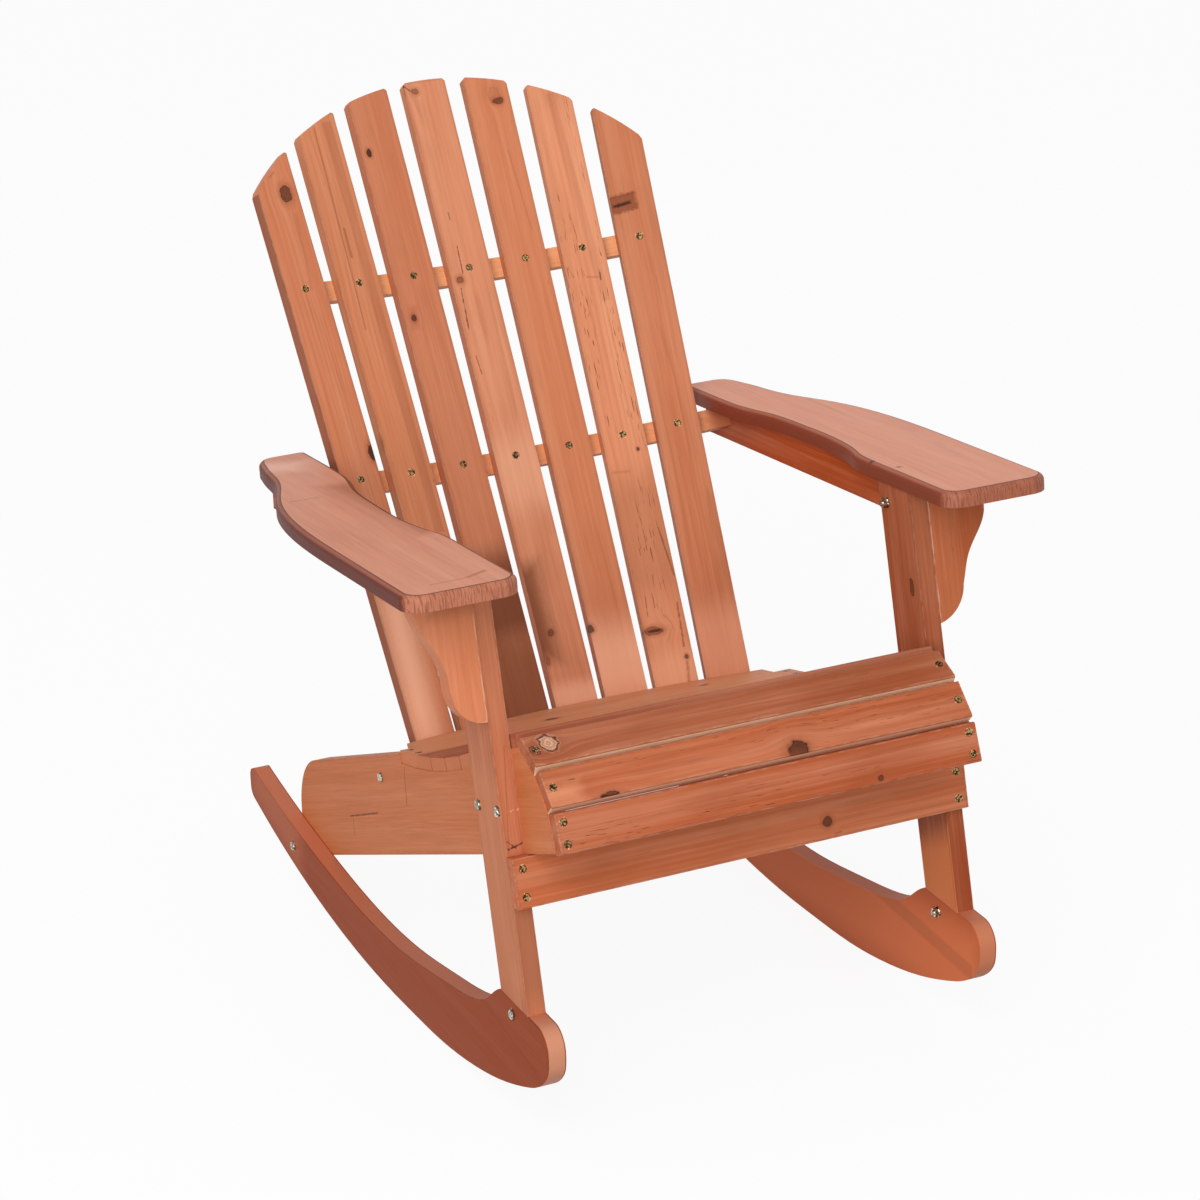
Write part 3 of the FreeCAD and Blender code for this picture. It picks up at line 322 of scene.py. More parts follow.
def wood_group():
    """Stained softwood in board coordinates: growth rings, fibres, blotches, resin dashes and arrises."""
    vector, value, colour = "NodeSocketVector", "NodeSocketFloat", "NodeSocketColor"
    inputs = [("Place", vector, None), ("Face Place", vector, None), ("Seed", value, 0.0),
              ("Tone", colour, None), ("Grain", value, 1.0), ("Dashes", value, 0.3), ("Half", vector, None),
              ("Pale Edge", value, 0.3), ("Dark Edge", value, 0.3), ("Side", value, 0.0)]
    outputs = [("Colour", colour), ("Roughness", value), ("Height", value)]
    group, g, source, target = new_group("stained_wood", inputs, outputs)
    place, seed, tone, grain = (source[label] for label in ("Place", "Seed", "Tone", "Grain"))

    # Each seed cuts its board from another part of the tree
    luck_noise = g.add("ShaderNodeTexWhiteNoise", noise_dimensions="2D")
    g.put(luck_noise.inputs["Vector"], g.join(0.0, seed, 0.0))
    luck = g.split(luck_noise.outputs["Color"])
    shift = g.join(g.times(luck[0], 9.0), g.times(luck[1], 3.0), g.plus(g.times(seed, 1.7), luck[2]))
    moved = g.vector("ADD", place, shift)

    # Growth rings round a heart that lies behind the face
    along, across, depth = g.split(place)[:3]
    wander = g.noise(moved, (3.0, 16.0, 16.0), detail=2.0)
    heart_y = g.times(g.minus(luck[1], 0.5), 0.12)
    heart_z = g.plus(0.03, g.times(luck[2], 0.07))
    ring_y = g.plus(g.minus(across, heart_y), g.times(wander, 0.020))
    ring_z = g.plus(g.plus(depth, heart_z), g.times(wander, 0.012))
    radius = g.vector("LENGTH", g.join(g.times(along, 0.012), ring_y, ring_z))
    ring = g.math("FRACT", g.times(radius, RINGS))
    latewood = g.times(g.smooth(ring, 0.35, 0.9), g.fall(ring, 0.9, 1.0))
    ring_zone = g.noise(moved, (4.0, 38.0, 38.0), detail=2.0)
    latewood = g.times(latewood, g.smooth(ring_zone, 0.42, 0.66, 0.1, 1.0))

    fibre = g.noise(moved, (16.0, 640.0, 640.0), detail=4.0, roughness=0.7)
    streak = g.noise(moved, (5.0, 210.0, 210.0), detail=3.0, roughness=0.6)
    band = g.noise(moved, (1.6, 42.0, 42.0), detail=2.0, roughness=0.5)
    blotch = g.noise(moved, (7.0, 20.0, 20.0), detail=3.0, roughness=0.55)

    darker = g.mix(1.0, tone, DARKER, "MULTIPLY")
    lighter = g.mix(0.45, tone, linear(THIN_STAIN))
    reddish = g.mix(1.0, tone, REDDER, "MULTIPLY")
    fine_grain = g.times(grain, 2.0, clamp=True)

    def layered(colour, *layers):
        """Each layer: its pattern, where it starts and is full, its share, what scales it, its tint."""
        for pattern, start, full, share, scale, tint in layers:
            colour = g.mix(g.times(g.smooth(pattern, start, full), share, scale), colour, tint)
        return colour

    colour = g.mix(g.times(g.smooth(band, 0.34, 0.70), 0.5), reddish, lighter)
    colour = g.mix(grain, tone, colour)
    colour = layered(colour, (streak, 0.44, 0.72, 0.26, grain, darker),
                     (streak, 0.50, 0.26, 0.28, fine_grain, lighter),
                     (blotch, 0.46, 0.78, 0.36, grain, darker))
    board_tone = g.times(g.minus(luck[0], 0.5), 0.22)
    colour = g.mix(g.math("MAXIMUM", board_tone, 0.0), colour, darker)
    colour = g.mix(g.times(latewood, grain, 0.34, clamp=True), colour, darker)
    colour = layered(colour, (fibre, 0.50, 0.74, 0.26, fine_grain, darker),
                     (fibre, 0.46, 0.26, 0.20, fine_grain, lighter))

    dash_noise = g.noise(moved, (46.0, 760.0, 760.0), detail=1.0)
    dash_zone = g.noise(moved, (4.0, 30.0, 30.0), detail=1.0)
    dash_level = g.minus(0.80, g.times(source["Dashes"], 0.10))
    dash = g.smooth(dash_noise, dash_level, g.plus(dash_level, 0.03))
    dash = g.times(dash, g.smooth(dash_zone, 0.48, 0.58))
    colour = g.mix(g.times(dash, 0.85), colour, linear(RESIN))

    # The board's edges: a dark line of stain, its narrow sides, and worn arrises
    halves, places = g.split(source["Half"]), g.split(source["Face Place"])
    near_end, near_side, near_face = (g.minus(half, g.absolute(at)) for half, at in zip(halves, places))
    corner = g.vector("LENGTH", g.join(g.math("MINIMUM", near_side, near_end), near_face, 0.0))
    ragged = g.noise(moved, (70.0, 300.0, 300.0), detail=2.0)
    dark_line = g.fall(g.minus(corner, g.times(ragged, 0.0018)), 0.0, 0.0030)
    colour = g.mix(g.times(dark_line, source["Dark Edge"]), colour, darker)
    side_share = g.times(g.fall(near_side, 0.0004, 0.0010), source["Side"])
    colour = g.mix(side_share, colour, linear(SIDE_STAIN))
    worn = g.fall(g.minus(corner, g.times(ragged, 0.0022)), -0.0004, 0.0011)
    worn = g.times(worn, g.smooth(ragged, 0.36, 0.60))
    colour = g.mix(g.times(worn, source["Pale Edge"]), colour, linear(PALE_EDGE))

    height = g.minus(g.times(fibre, 0.35), g.times(latewood, 0.25))
    g.put(target["Colour"], colour)
    g.put(target["Roughness"], g.plus(0.46, g.times(fibre, 0.16)))
    g.put(target["Height"], g.minus(height, dash))
    return group


def knot_group():
    """One knot: bends the grain round itself, with a dark rim, rings in its heart and a brown halo."""
    vector, value, colour = "NodeSocketVector", "NodeSocketFloat", "NodeSocketColor"
    inputs = [("Place", vector, None), ("Centre", vector, None), ("Size", vector, None),
              ("Dark", value, 1.0), ("Colour", colour, None), ("Heart", colour, None)]
    outputs = [("Bent Place", vector), ("Share", value), ("Colour", colour)]
    group, g, source, target = new_group("knot", inputs, outputs)
    offset = g.vector("SUBTRACT", source["Place"], source["Centre"])
    scaled = g.vector("DIVIDE", offset, source["Size"])
    uneven = g.noise(source["Place"], (190.0, 190.0, 190.0), detail=3.0)
    fine = g.noise(source["Place"], (900.0, 900.0, 900.0), detail=2.0)
    distance = g.plus(g.vector("LENGTH", scaled), g.times(g.minus(uneven, 0.5), 0.75))
    push = g.times(g.math("EXPONENT", g.times(g.vector("DOT_PRODUCT", scaled, scaled), -0.22)), -0.75)
    bend = g.vector("MULTIPLY", offset, g.join(0.0, push, push))
    g.put(target["Bent Place"], g.vector("ADD", source["Place"], bend))
    core = g.fall(distance, 0.86, 1.04)
    halo = g.smooth(distance, 0.95, 2.1, 0.42, 0.0)
    share = g.math("MAXIMUM", g.times(core, 0.94), halo)
    g.put(target["Share"], g.times(share, source["Dark"], clamp=True))
    rings = g.plus(0.5, g.times(g.math("SINE", g.times(distance, 15.0)), 0.5))
    rim = g.fall(g.absolute(g.minus(distance, 0.90)), 0.04, 0.22)
    darkness = g.math("MAXIMUM", rim, g.times(rings, fine, 0.9), clamp=True)
    inner = g.mix(darkness, source["Heart"], source["Colour"])
    g.put(target["Colour"], g.mix(g.smooth(distance, 1.0, 1.2), inner, linear(KNOT_WARM)))
    return group


def mark_group():
    """A straight mark on a face: a crack, a glued strip, a drip of stain, a dark or pale patch; some
    patches are painted shade or painted light.
    """
    vector, value = "NodeSocketVector", "NodeSocketFloat"
    inputs = [("Place", vector, None), ("Centre", vector, None), ("Direction", vector, None),
              ("Sideways", vector, None), ("Face", vector, None), ("Length", value, 0.01),
              ("Width", value, 0.001), ("Soft", value, 0.001), ("Ragged", value, 0.0),
              ("Share", value, 1.0)]
    group, g, source, target = new_group("face_mark", inputs, [("Share", value)])
    offset = g.vector("SUBTRACT", source["Place"], source["Centre"])
    ends = g.minus(g.absolute(g.vector("DOT_PRODUCT", offset, source["Direction"])), source["Length"])
    sides = g.minus(g.absolute(g.vector("DOT_PRODUCT", offset, source["Sideways"])), source["Width"])
    rough = g.noise(source["Place"], (230.0, 230.0, 230.0), detail=3.0)
    rough = g.times(g.minus(rough, 0.5), source["Ragged"])
    distance = g.plus(g.math("MAXIMUM", ends, sides), rough)
    share = g.fall(distance, g.times(source["Soft"], -1.0), source["Soft"])
    deep = g.absolute(g.vector("DOT_PRODUCT", offset, source["Face"]))
    share = g.times(share, g.fall(deep, *MARK_DEPTH))
    g.put(target["Share"], g.times(share, source["Share"], clamp=True))
    return group


def screw_shadow_group():
    """Round a fastener's head: a dark rim of painted shadow, with a pale chip."""
    vector, value, colour = "NodeSocketVector", "NodeSocketFloat", "NodeSocketColor"
    inputs = [("Place", vector, None), ("Centre", vector, None), ("Radius", value, 0.004),
              ("Colour In", colour, None)]
    group, g, source, target = new_group("screw_rim", inputs, [("Colour", colour)])
    offset = g.vector("MULTIPLY", g.vector("SUBTRACT", source["Place"], source["Centre"]), (1.0, 1.0, 0.0))
    uneven = g.noise(source["Place"], (260.0, 260.0, 260.0), detail=2.0)
    beyond = g.minus(g.vector("LENGTH", offset), source["Radius"])
    beyond = g.minus(beyond, g.times(g.minus(uneven, 0.5), 0.0030))
    chip = g.times(g.fall(beyond, 0.0004, 0.0016), g.smooth(uneven, 0.56, 0.62))
    colour = g.mix(g.times(chip, 0.8), source["Colour In"], linear(KNOT_PALE))
    # The dark rim is painted shadow round the head
    rim = g.times(g.fall(beyond, 0.0002, 0.0013), g.smooth(uneven, 0.60, 0.52))
    g.put(target["Colour"], g.mix(g.times(rim, 0.85), colour, linear(PITCH)))
    return group


WOOD = wood_group()
KNOT = knot_group()
MARK = mark_group()
SCREW_SHADOW = screw_shadow_group()


def solids_of(name):
    """The separate solids of a node, each as a list of its points."""
    mesh = nodes[name].data
    parent = list(range(len(mesh.vertices)))

    def root(index):
        while parent[index] != index:
            parent[index] = parent[parent[index]]
            index = parent[index]
        return index

    for edge in mesh.edges:
        parent[root(edge.vertices[0])] = root(edge.vertices[1])
    found = {}
    for vertex in mesh.vertices:
        found.setdefault(root(vertex.index), []).append(vertex.co.copy())
    return list(found.values())


FASTENERS = [solid for name in ("back_slat_screws", "seat_slat_screws", "apron_screws", "arm_screws",
                                "frame_bolts", "rocker_tenon_bolts") for solid in solids_of(name)]


def heads_on(board):
    """Middle and radius of each fastener head that shows on the board's outer face."""
    turn = board.turn().transposed()
    heads = []
    for solid in FASTENERS:
        points = [turn @ (point - board.middle) for point in solid]
        middle = sum(points, Vector()) / len(points)
        top = max(point.z for point in points)
        inside = abs(middle.x) < board.half.x and abs(middle.y) < board.half.y
        if inside and abs(top - board.half.z) < HEAD_REACH:
            radius = max(math.hypot(point.x - middle.x, point.y - middle.y) for point in points)
            heads.append((Vector((middle.x, middle.y, board.half.z)), radius))
    return heads


def new_material(name):
    material = bpy.data.materials.new(name)
    material.use_nodes = True
    material.node_tree.nodes.clear()
    graph = Graph(material.node_tree)
    output = graph.add("ShaderNodeOutputMaterial")
    shader = graph.add("ShaderNodeBsdfPrincipled")
    graph.put(output.inputs["Surface"], shader.outputs[0])
    return material, graph, shader


def paint(name, material):
    """A node's own mesh data keeps its shape; only its material slots change."""
    slots = nodes[name].material_slots
    for slot in slots:
        slot.link = "OBJECT"
        slot.material = material
    if not slots:
        nodes[name].data.materials.append(material)


def add_marks(g, board, face_place, colour, marks):
    """The colour with marks laid over it, each between two pixels of one of the board's faces."""
    for start, end, width, soft, ragged, share, tint, face in marks:
        first, last = board.spot(start, face), board.spot(end, face)
        direction = (last - first).normalized()
        made = g.add("ShaderNodeGroup", node_tree=MARK)
        g.put(made.inputs["Place"], face_place)
        for label, given in (("Centre", (first + last) / 2), ("Direction", direction),
                             ("Sideways", Vector(face).cross(direction)), ("Face", face),
                             ("Length", (last - first).length / 2), ("Width", width), ("Soft", soft),
                             ("Ragged", ragged), ("Share", share)):
            made.inputs[label].default_value = given
        colour = g.mix(made.outputs["Share"], colour, linear(tint))
    return colour


def wood_material(board, seed, grain=1.0, dashes=0.3, pale=0.2, dark=0.4, side=0.0, finish=None):
    """The board's own material: its place in its axes, its knots, the wood, its marks, some of them painted
    shade or painted light, and rims of painted shadow round screw heads.
    """
    material, g, shader = new_material(board.name)
    coordinates = g.add("ShaderNodeTexCoord")
    mapping = g.add("ShaderNodeMapping", vector_type="TEXTURE")
    g.put(mapping.inputs["Vector"], coordinates.outputs["Object"])
    mapping.inputs["Location"].default_value = board.middle
    mapping.inputs["Rotation"].default_value = board.turn().to_euler()
    face_place = mapping.outputs[0]
    place = face_place
    spots = []
    for pixel, size, share, rim, heart in KNOTS.get(board.name, []):
        made = g.add("ShaderNodeGroup", node_tree=KNOT)
        g.put(made.inputs["Place"], place)
        made.inputs["Centre"].default_value = board.spot(pixel)
        made.inputs["Size"].default_value = (size[0], size[1], max(size) * 2)
        made.inputs["Dark"].default_value = share
        made.inputs["Colour"].default_value = linear(rim)
        made.inputs["Heart"].default_value = linear(heart)
        place = made.outputs["Bent Place"]
        spots.append(made)
    wood = g.add("ShaderNodeGroup", node_tree=WOOD)
    g.put(wood.inputs["Place"], place)
    g.put(wood.inputs["Face Place"], face_place)
    tone = linear(TONES.get(board.name, SEAT_TONE))
    for label, given in (("Seed", seed), ("Tone", tone), ("Grain", grain), ("Dashes", dashes),
                         ("Half", board.half), ("Pale Edge", pale), ("Dark Edge", dark), ("Side", side)):
        wood.inputs[label].default_value = given
    marks = MARKS.get(board.name, [])
    patches = [mark for mark in marks if mark[2] > PATCH_WIDTH]
    lines = [mark for mark in marks if mark[2] <= PATCH_WIDTH]
    colour = add_marks(g, board, face_place, wood.outputs["Colour"], patches)
    for made in spots:
        colour = g.mix(made.outputs["Share"], colour, made.outputs["Colour"])
    colour = add_marks(g, board, face_place, colour, lines)
    # Painted shadow round each fastener head that shows on the board
    for middle, radius in heads_on(board):
        made = g.add("ShaderNodeGroup", node_tree=SCREW_SHADOW)
        g.put(made.inputs["Place"], face_place)
        g.put(made.inputs["Colour In"], colour)
        made.inputs["Centre"].default_value = middle
        made.inputs["Radius"].default_value = radius
        colour = made.outputs["Colour"]
    if finish:
        colour = finish(g, board, face_place, colour)
    g.put(shader.inputs["Base Color"], colour)
    gloss = ARM_GLOSS.get(board.name, 0.0)
    g.put(shader.inputs["Roughness"], g.minus(wood.outputs["Roughness"], gloss))
    shader.inputs["Specular IOR Level"].default_value = WOOD_SPECULAR + GLOSS_SPECULAR * gloss
    bump = g.add("ShaderNodeBump")
    bump.inputs["Strength"].default_value = 0.25
    bump.inputs["Distance"].default_value = 0.0006
    g.put(bump.inputs["Height"], wood.outputs["Height"])
    g.put(shader.inputs["Normal"], bump.outputs[0])
    paint(board.name, material)


# Knots that the photograph shows: pixel, half sizes in metres along and across, share, rim, heart
KNOTS = {
    "back_slat_1": [((286, 194), (0.0108, 0.0082), 0.95, KNOT_DARK, KNOT_BROWN),
                    ((372, 452), (0.0110, 0.0052), 1.0, KNOT_DARK, KNOT_DARK)],
    "back_slat_2": [((380, 444), (0.0085, 0.0042), 0.85, KNOT_BROWN, KNOT_WARM)],
    "back_slat_3": [((369, 153), (0.0050, 0.0036), 1.0, KNOT_DARK, KNOT_DARK),
                    ((414, 318), (0.0046, 0.0036), 1.0, KNOT_DARK, KNOT_DARK)],
    "back_slat_4": [((415, 91.5), (0.0042, 0.0048), 0.8, KNOT_DARK, KNOT_WARM),
                    ((460, 280), (0.0048, 0.0048), 0.9, KNOT_DARK, KNOT_WARM),
                    ((551, 633), (0.0045, 0.0042), 0.8, KNOT_DARK, KNOT_BROWN),
                    ((548, 661), (0.0055, 0.0030), 0.75, KNOT_BROWN, KNOT_WARM)],
    "back_slat_5": [((494, 95), (0.0110, 0.0080), 0.32, KNOT_BROWN, KNOT_WARM),
                    ((497, 101), (0.0042, 0.0036), 0.9, KNOT_DARK, KNOT_BROWN),
                    ((590, 629), (0.0052, 0.0052), 0.95, KNOT_DARK, KNOT_BROWN)],
    "back_slat_6": [((638, 449), (0.0026, 0.0022), 0.9, KNOT_DARK, KNOT_DARK),
                    ((653, 631), (0.0055, 0.0125), 0.85, KNOT_DARK, KNOT_WARM),
                    ((653.5, 631), (0.0018, 0.0030), 0.9, KNOT_DARK, KNOT_DARK),
                    ((643, 628), (0.0044, 0.0022), 0.8, KNOT_DARK, KNOT_DARK),
                    ((686.6, 656.4), (0.0032, 0.0028), 0.9, KNOT_DARK, KNOT_BROWN)],
    "seat_slat_11": [((552, 719), (0.0085, 0.0055), 0.9, KNOT_DARK, KNOT_BROWN),
                     ((704, 685), (0.0060, 0.0040), 0.8, KNOT_DARK, KNOT_BROWN)],
    "seat_slat_3": [((548, 743), (0.0115, 0.0135), 0.95, KNOT_DARK, KNOT_PALE),
                    ((534, 749), (0.0060, 0.0050), 0.9, KNOT_DARK, KNOT_WARM)],
    "seat_slat_2": [((799, 750), (0.0125, 0.0120), 1.0, PITCH, (92, 44, 28)),
                    ((797, 756), (0.0120, 0.0040), 1.0, PITCH, PITCH),
                    ((611, 796), (0.0120, 0.0060), 1.0, PITCH, KNOT_BROWN)],
    "seat_slat_1": [((881, 778), (0.0034, 0.0036), 1.0, KNOT_DARK, KNOT_BROWN)],
    "front_apron": [((827.5, 821.6), (0.0060, 0.0062), 0.95, KNOT_DARK, KNOT_BROWN)],
    "arm_left": [((872, 461), (0.0030, 0.0026), 0.8, KNOT_DARK, KNOT_DARK),
                 ((899, 467), (0.0030, 0.0032), 0.7, KNOT_DARK, KNOT_BROWN)],
    "front_leg_left": [((912, 587), (0.0105, 0.0052), 0.95, KNOT_DARK, KNOT_BROWN)],
}

# A board's outer face and its front edge, in its own axes
OUT, FRONT = (0, 0, 1), (0, -1, 0)

# Outline of the near bracket in metres: out from the leg, and down from the bracket's head
FULL_BRACKET = [(0.0680, 0.0280), (0.0666, 0.0340), (0.0646, 0.0400), (0.0622, 0.0465), (0.0592, 0.0530),
                (0.0556, 0.0600), (0.0518, 0.0665), (0.0482, 0.0730), (0.0452, 0.0790), (0.0430, 0.0850),
                (0.0411, 0.0910), (0.0394, 0.0970), (0.0384, 0.1020), (0.0379, 0.1070), (0.0377, 0.1120),
                (0.0377, 0.1165), (0.0374, 0.1205), (0.0368, 0.1245), (0.0359, 0.1290), (0.0347, 0.1335),
                (0.0329, 0.1380), (0.0305, 0.1425), (0.0275, 0.1465), (0.0240, 0.1500), (0.0200, 0.1530),
                (0.0160, 0.1552), (0.0120, 0.1568), (0.0080, 0.1577), (0.0040, 0.1582), (0.0, 0.1583)]
FULL_BRACKET_DEPTH = 0.028
# How far the CAD's bracket reaches down from its head
CAD_BRACKET_DROP = 0.1535

# A mark with a half width over this lies under the knots, and a narrower one over them
PATCH_WIDTH = 0.009

# Straight marks: start and end pixel, half width, softness, raggedness in metres, share, colour, face. Some
# wide patches are painted shade or painted light, as noted above them.
MARKS = {
    "back_slat_1": [((269, 178), (274, 172), 0.0010, 0.0010, 0.001, 0.4, SHADE, OUT),
                    ((296, 214), (312, 290), 0.0016, 0.0030, 0.002, 0.25, SHADE, OUT),
                    # Painted light on the slat's low end under the arm
                    ((392, 600), (430, 742), 0.0160, 0.0220, 0.004, 0.9, (255, 192, 158), OUT)],
    "back_slat_2": [((326, 122), (440, 532), 0.0065, 0.0016, 0.001, 0.30, (150, 82, 54), OUT),
                    ((314, 128), (366, 330), 0.0009, 0.0009, 0.001, 0.5, (140, 76, 48), OUT),
                    ((344, 228), (352, 258), 0.0016, 0.0014, 0.001, 0.5, (130, 66, 40), OUT)],
    "back_slat_3": [((412, 307), (416, 328), 0.0052, 0.0060, 0.004, 0.30, SHADE, OUT),
                    # Painted shadow of the arm on the slat's low end
                    ((511, 640), (526, 735), 0.0800, 0.0260, 0.004, 0.62, (108, 56, 30), OUT),
                    ((484, 556), (511, 640), 0.0800, 0.0260, 0.004, 0.80, (98, 48, 24), OUT)],
    "back_slat_4": [((403, 85), (405, 98), 0.0009, 0.0008, 0.002, 0.8, PITCH, OUT),
                    ((403, 86), (410, 91), 0.0009, 0.0008, 0.002, 0.6, PITCH, OUT),
                    ((457, 246), (463, 274), 0.0005, 0.0005, 0.002, 0.8, KNOT_DARK, OUT),
                    ((461, 288), (469, 330), 0.0006, 0.0006, 0.003, 0.8, KNOT_DARK, OUT),
                    ((476, 356), (482, 374), 0.0008, 0.0006, 0.002, 0.6, KNOT_BROWN, OUT),
                    ((448, 212), (450, 220), 0.0006, 0.0005, 0.001, 0.7, KNOT_BROWN, OUT),
                    ((506, 440), (522, 510), 0.0800, 0.0300, 0.004, 0.3, (255, 194, 158), OUT),
                    # Painted shadow of the arm along the slat's left side
                    ((524, 566), (547, 660), 0.0150, 0.0170, 0.004, 0.8, (116, 60, 35), OUT),
                    ((565, 684), (570, 708), 0.0800, 0.0120, 0.004, 0.65, (255, 190, 156), OUT)],
    "back_slat_5": [((508, 150), (532, 230), 0.0007, 0.0008, 0.001, 0.3, SHADE, OUT),
                    ((598, 630), (614, 704), 0.0800, 0.0360, 0.004, 0.8, (255, 188, 152), OUT)],
    "back_slat_6": [((549, 93), (606, 300), 0.0055, 0.0020, 0.001, 0.24, (160, 88, 58), OUT),
                    ((586, 277), (600, 277), 0.0012, 0.0012, 0.002, 0.4, (168, 84, 56), OUT),
                    ((600, 272), (601, 280), 0.0007, 0.0006, 0.001, 0.7, KNOT_DARK, OUT),
                    ((612, 473), (630, 471), 0.0016, 0.0020, 0.003, 0.35, (176, 92, 64), OUT),
                    ((658, 527), (674, 575), 0.0010, 0.0008, 0.002, 0.6, KNOT_BROWN, OUT),
                    ((613, 480), (646, 596), 0.0800, 0.0300, 0.004, 0.4, (166, 100, 64), OUT),
                    ((658, 655), (668, 694), 0.0800, 0.0200, 0.004, 0.5, (255, 186, 146), OUT),
                    ((645, 596), (648, 617), 0.0006, 0.0006, 0.002, 0.6, KNOT_BROWN, OUT),
                    ((652, 594), (655, 608), 0.0006, 0.0006, 0.002, 0.5, KNOT_BROWN, OUT),
                    ((677, 602), (684, 646), 0.0010, 0.0010, 0.004, 0.6, KNOT_BROWN, OUT),
                    ((687, 661), (690, 690), 0.0016, 0.0014, 0.003, 0.5, (150, 76, 48), OUT)],
    "back_slat_7": [((609, 207), (636, 200), 0.0115, 0.0026, 0.008, 0.72, (126, 62, 36), OUT),
                    ((613, 207), (631, 202), 0.0020, 0.0016, 0.004, 0.9, PITCH, OUT),
                    ((609, 199), (636, 192), 0.0010, 0.0010, 0.002, 0.4, (96, 46, 28), OUT),
                    ((704, 610), (718, 684), 0.0800, 0.0300, 0.004, 0.5, (246, 172, 136), OUT)],
    "seat_slat_2": [((786, 728), (816, 722), 0.0010, 0.0010, 0.002, 0.3, SHADE, OUT),
                    ((524, 803), (580, 791), 0.0110, 0.0120, 0.004, 0.45, (240, 164, 124), OUT),
                    ((602, 799), (620, 795), 0.0030, 0.0016, 0.005, 1.0, PITCH, OUT)],
    # Painted shade on the right ends of the seat slats, beside the arm
    "seat_slat_3": [((800, 702), (930, 672), 0.0300, 0.0300, 0.004, 0.38, (150, 66, 30), OUT)],
    "seat_slat_1": [((840, 772), (935, 752), 0.0300, 0.0300, 0.004, 0.22, (150, 66, 30), OUT)],
    "front_apron": [((835, 834), (842, 831), 0.0010, 0.0008, 0.001, 0.6, KNOT_WARM, OUT)],
    "arm_right": [((290, 502), (320, 497), 0.0007, 0.0007, 0.002, 0.65, (120, 66, 50), OUT),
                  ((320, 497), (352, 492), 0.0004, 0.0005, 0.001, 0.3, (150, 88, 70), OUT),
                  ((468, 577), (486, 570), 0.0030, 0.0012, 0.003, 0.5, (150, 88, 66), OUT),
                  ((430, 585), (470, 577), 0.0022, 0.0014, 0.003, 0.3, (150, 88, 66), OUT),
                  ((338, 485), (430, 532), 0.0120, 0.0220, 0.006, 0.62, (150, 76, 48), OUT),
                  # Painted highlight: a pale sheen at the back of the arm's top
                  ((262, 468), (300, 466), 0.0200, 0.0200, 0.004, 0.7, (250, 196, 176), OUT)],
    "front_leg_left": [((928, 838), (948, 925), 0.0600, 0.0200, 0.004, 0.75, (231, 133, 79), OUT),
                       ((962, 830), (972, 905), 0.0600, 0.0200, 0.004, 0.4, (150, 60, 28), FRONT)],
    "front_leg_right": [((522, 900), (532, 1000), 0.0600, 0.0200, 0.004, 0.4, (143, 85, 59), FRONT),
                        ((484, 770), (510, 990), 0.0600, 0.0200, 0.004, 0.22, (233, 154, 108), OUT),
                        ((504, 745), (509, 852), 0.0005, 0.0006, 0.001, 0.3, PITCH, FRONT),
                        ((508, 850), (524, 842), 0.0009, 0.0008, 0.005, 0.8, PITCH, FRONT),
                        ((507, 842), (516, 848), 0.0007, 0.0007, 0.004, 0.6, PITCH, FRONT)],
    "seat_rail_right": [((350, 816), (378, 813), 0.0009, 0.0007, 0.002, 0.75, PITCH, OUT),
                        ((353, 816), (355, 836), 0.0009, 0.0008, 0.001, 0.5, KNOT_BROWN, OUT),
                        ((404, 768), (407, 806), 0.0010, 0.0009, 0.002, 0.6, KNOT_BROWN, OUT),
                        ((411, 758), (411, 767), 0.0006, 0.0006, 0.001, 0.7, (240, 190, 160), OUT),
                        ((426, 757), (427, 764), 0.0005, 0.0005, 0.001, 0.6, (240, 190, 160), OUT),
                        ((457, 757), (460, 768), 0.0007, 0.0006, 0.001, 0.8, (240, 190, 160), OUT)],
    # Painted shadow under the arm, on the bracket's head
    "arm_bracket_right": [((428, 604), (506, 594), 0.0150, 0.0140, 0.004, 0.36, (112, 54, 36), OUT)],
    "rocker_right": [((252, 772), (300, 850), 0.0300, 0.0300, 0.004, 0.6, (196, 112, 78), OUT),
                     ((484, 1000), (540, 1080), 0.0006, 0.0008, 0.001, 0.45, (96, 46, 28), OUT)],
    # Painted light that lifts the shade under the seat, on the rocker's inner face
    "rocker_left": [((740, 832), (985, 980), 0.0600, 0.0400, 0.004, 0.9, (230, 124, 76), OUT),
                    ((868, 880), (972, 974), 0.0095, 0.0030, 0.002, 0.22, (112, 56, 34), OUT)],
}


# Boards by family: each function lays a finish over a board's colour, or paints a family

def shaded_batten_ends(g, board, face_place, colour):
    """The ends of the middle batten, darker where they meet the arm supports: painted shade."""
    inside = g.minus(board.half.x, g.absolute(g.split(face_place)[0]))
    return g.mix(g.smooth(inside, 0.014, 0.038, 0.95, 0.0), colour, linear(BATTEN_END_SHADE))


def paint_back():
    for n in range(1, 8):
        board = Board("back_slat_%d" % n, BACK_FACE, BACK_UP)
        wood_material(board, 3.1 * n, grain=0.5 if n in (3, 5) else 0.8, dashes=1.35 if n == 6 else 0.1,
                      side=0.7 if n == 1 else 0.05)
    for n, part in enumerate(("upper", "middle", "lower")):
        board = Board("back_batten_" + part, BACK_FACE, ACROSS, straight=False)
        wood_material(board, 40.5 + n, pale=0.0, finish=shaded_batten_ends if part == "middle" else None)


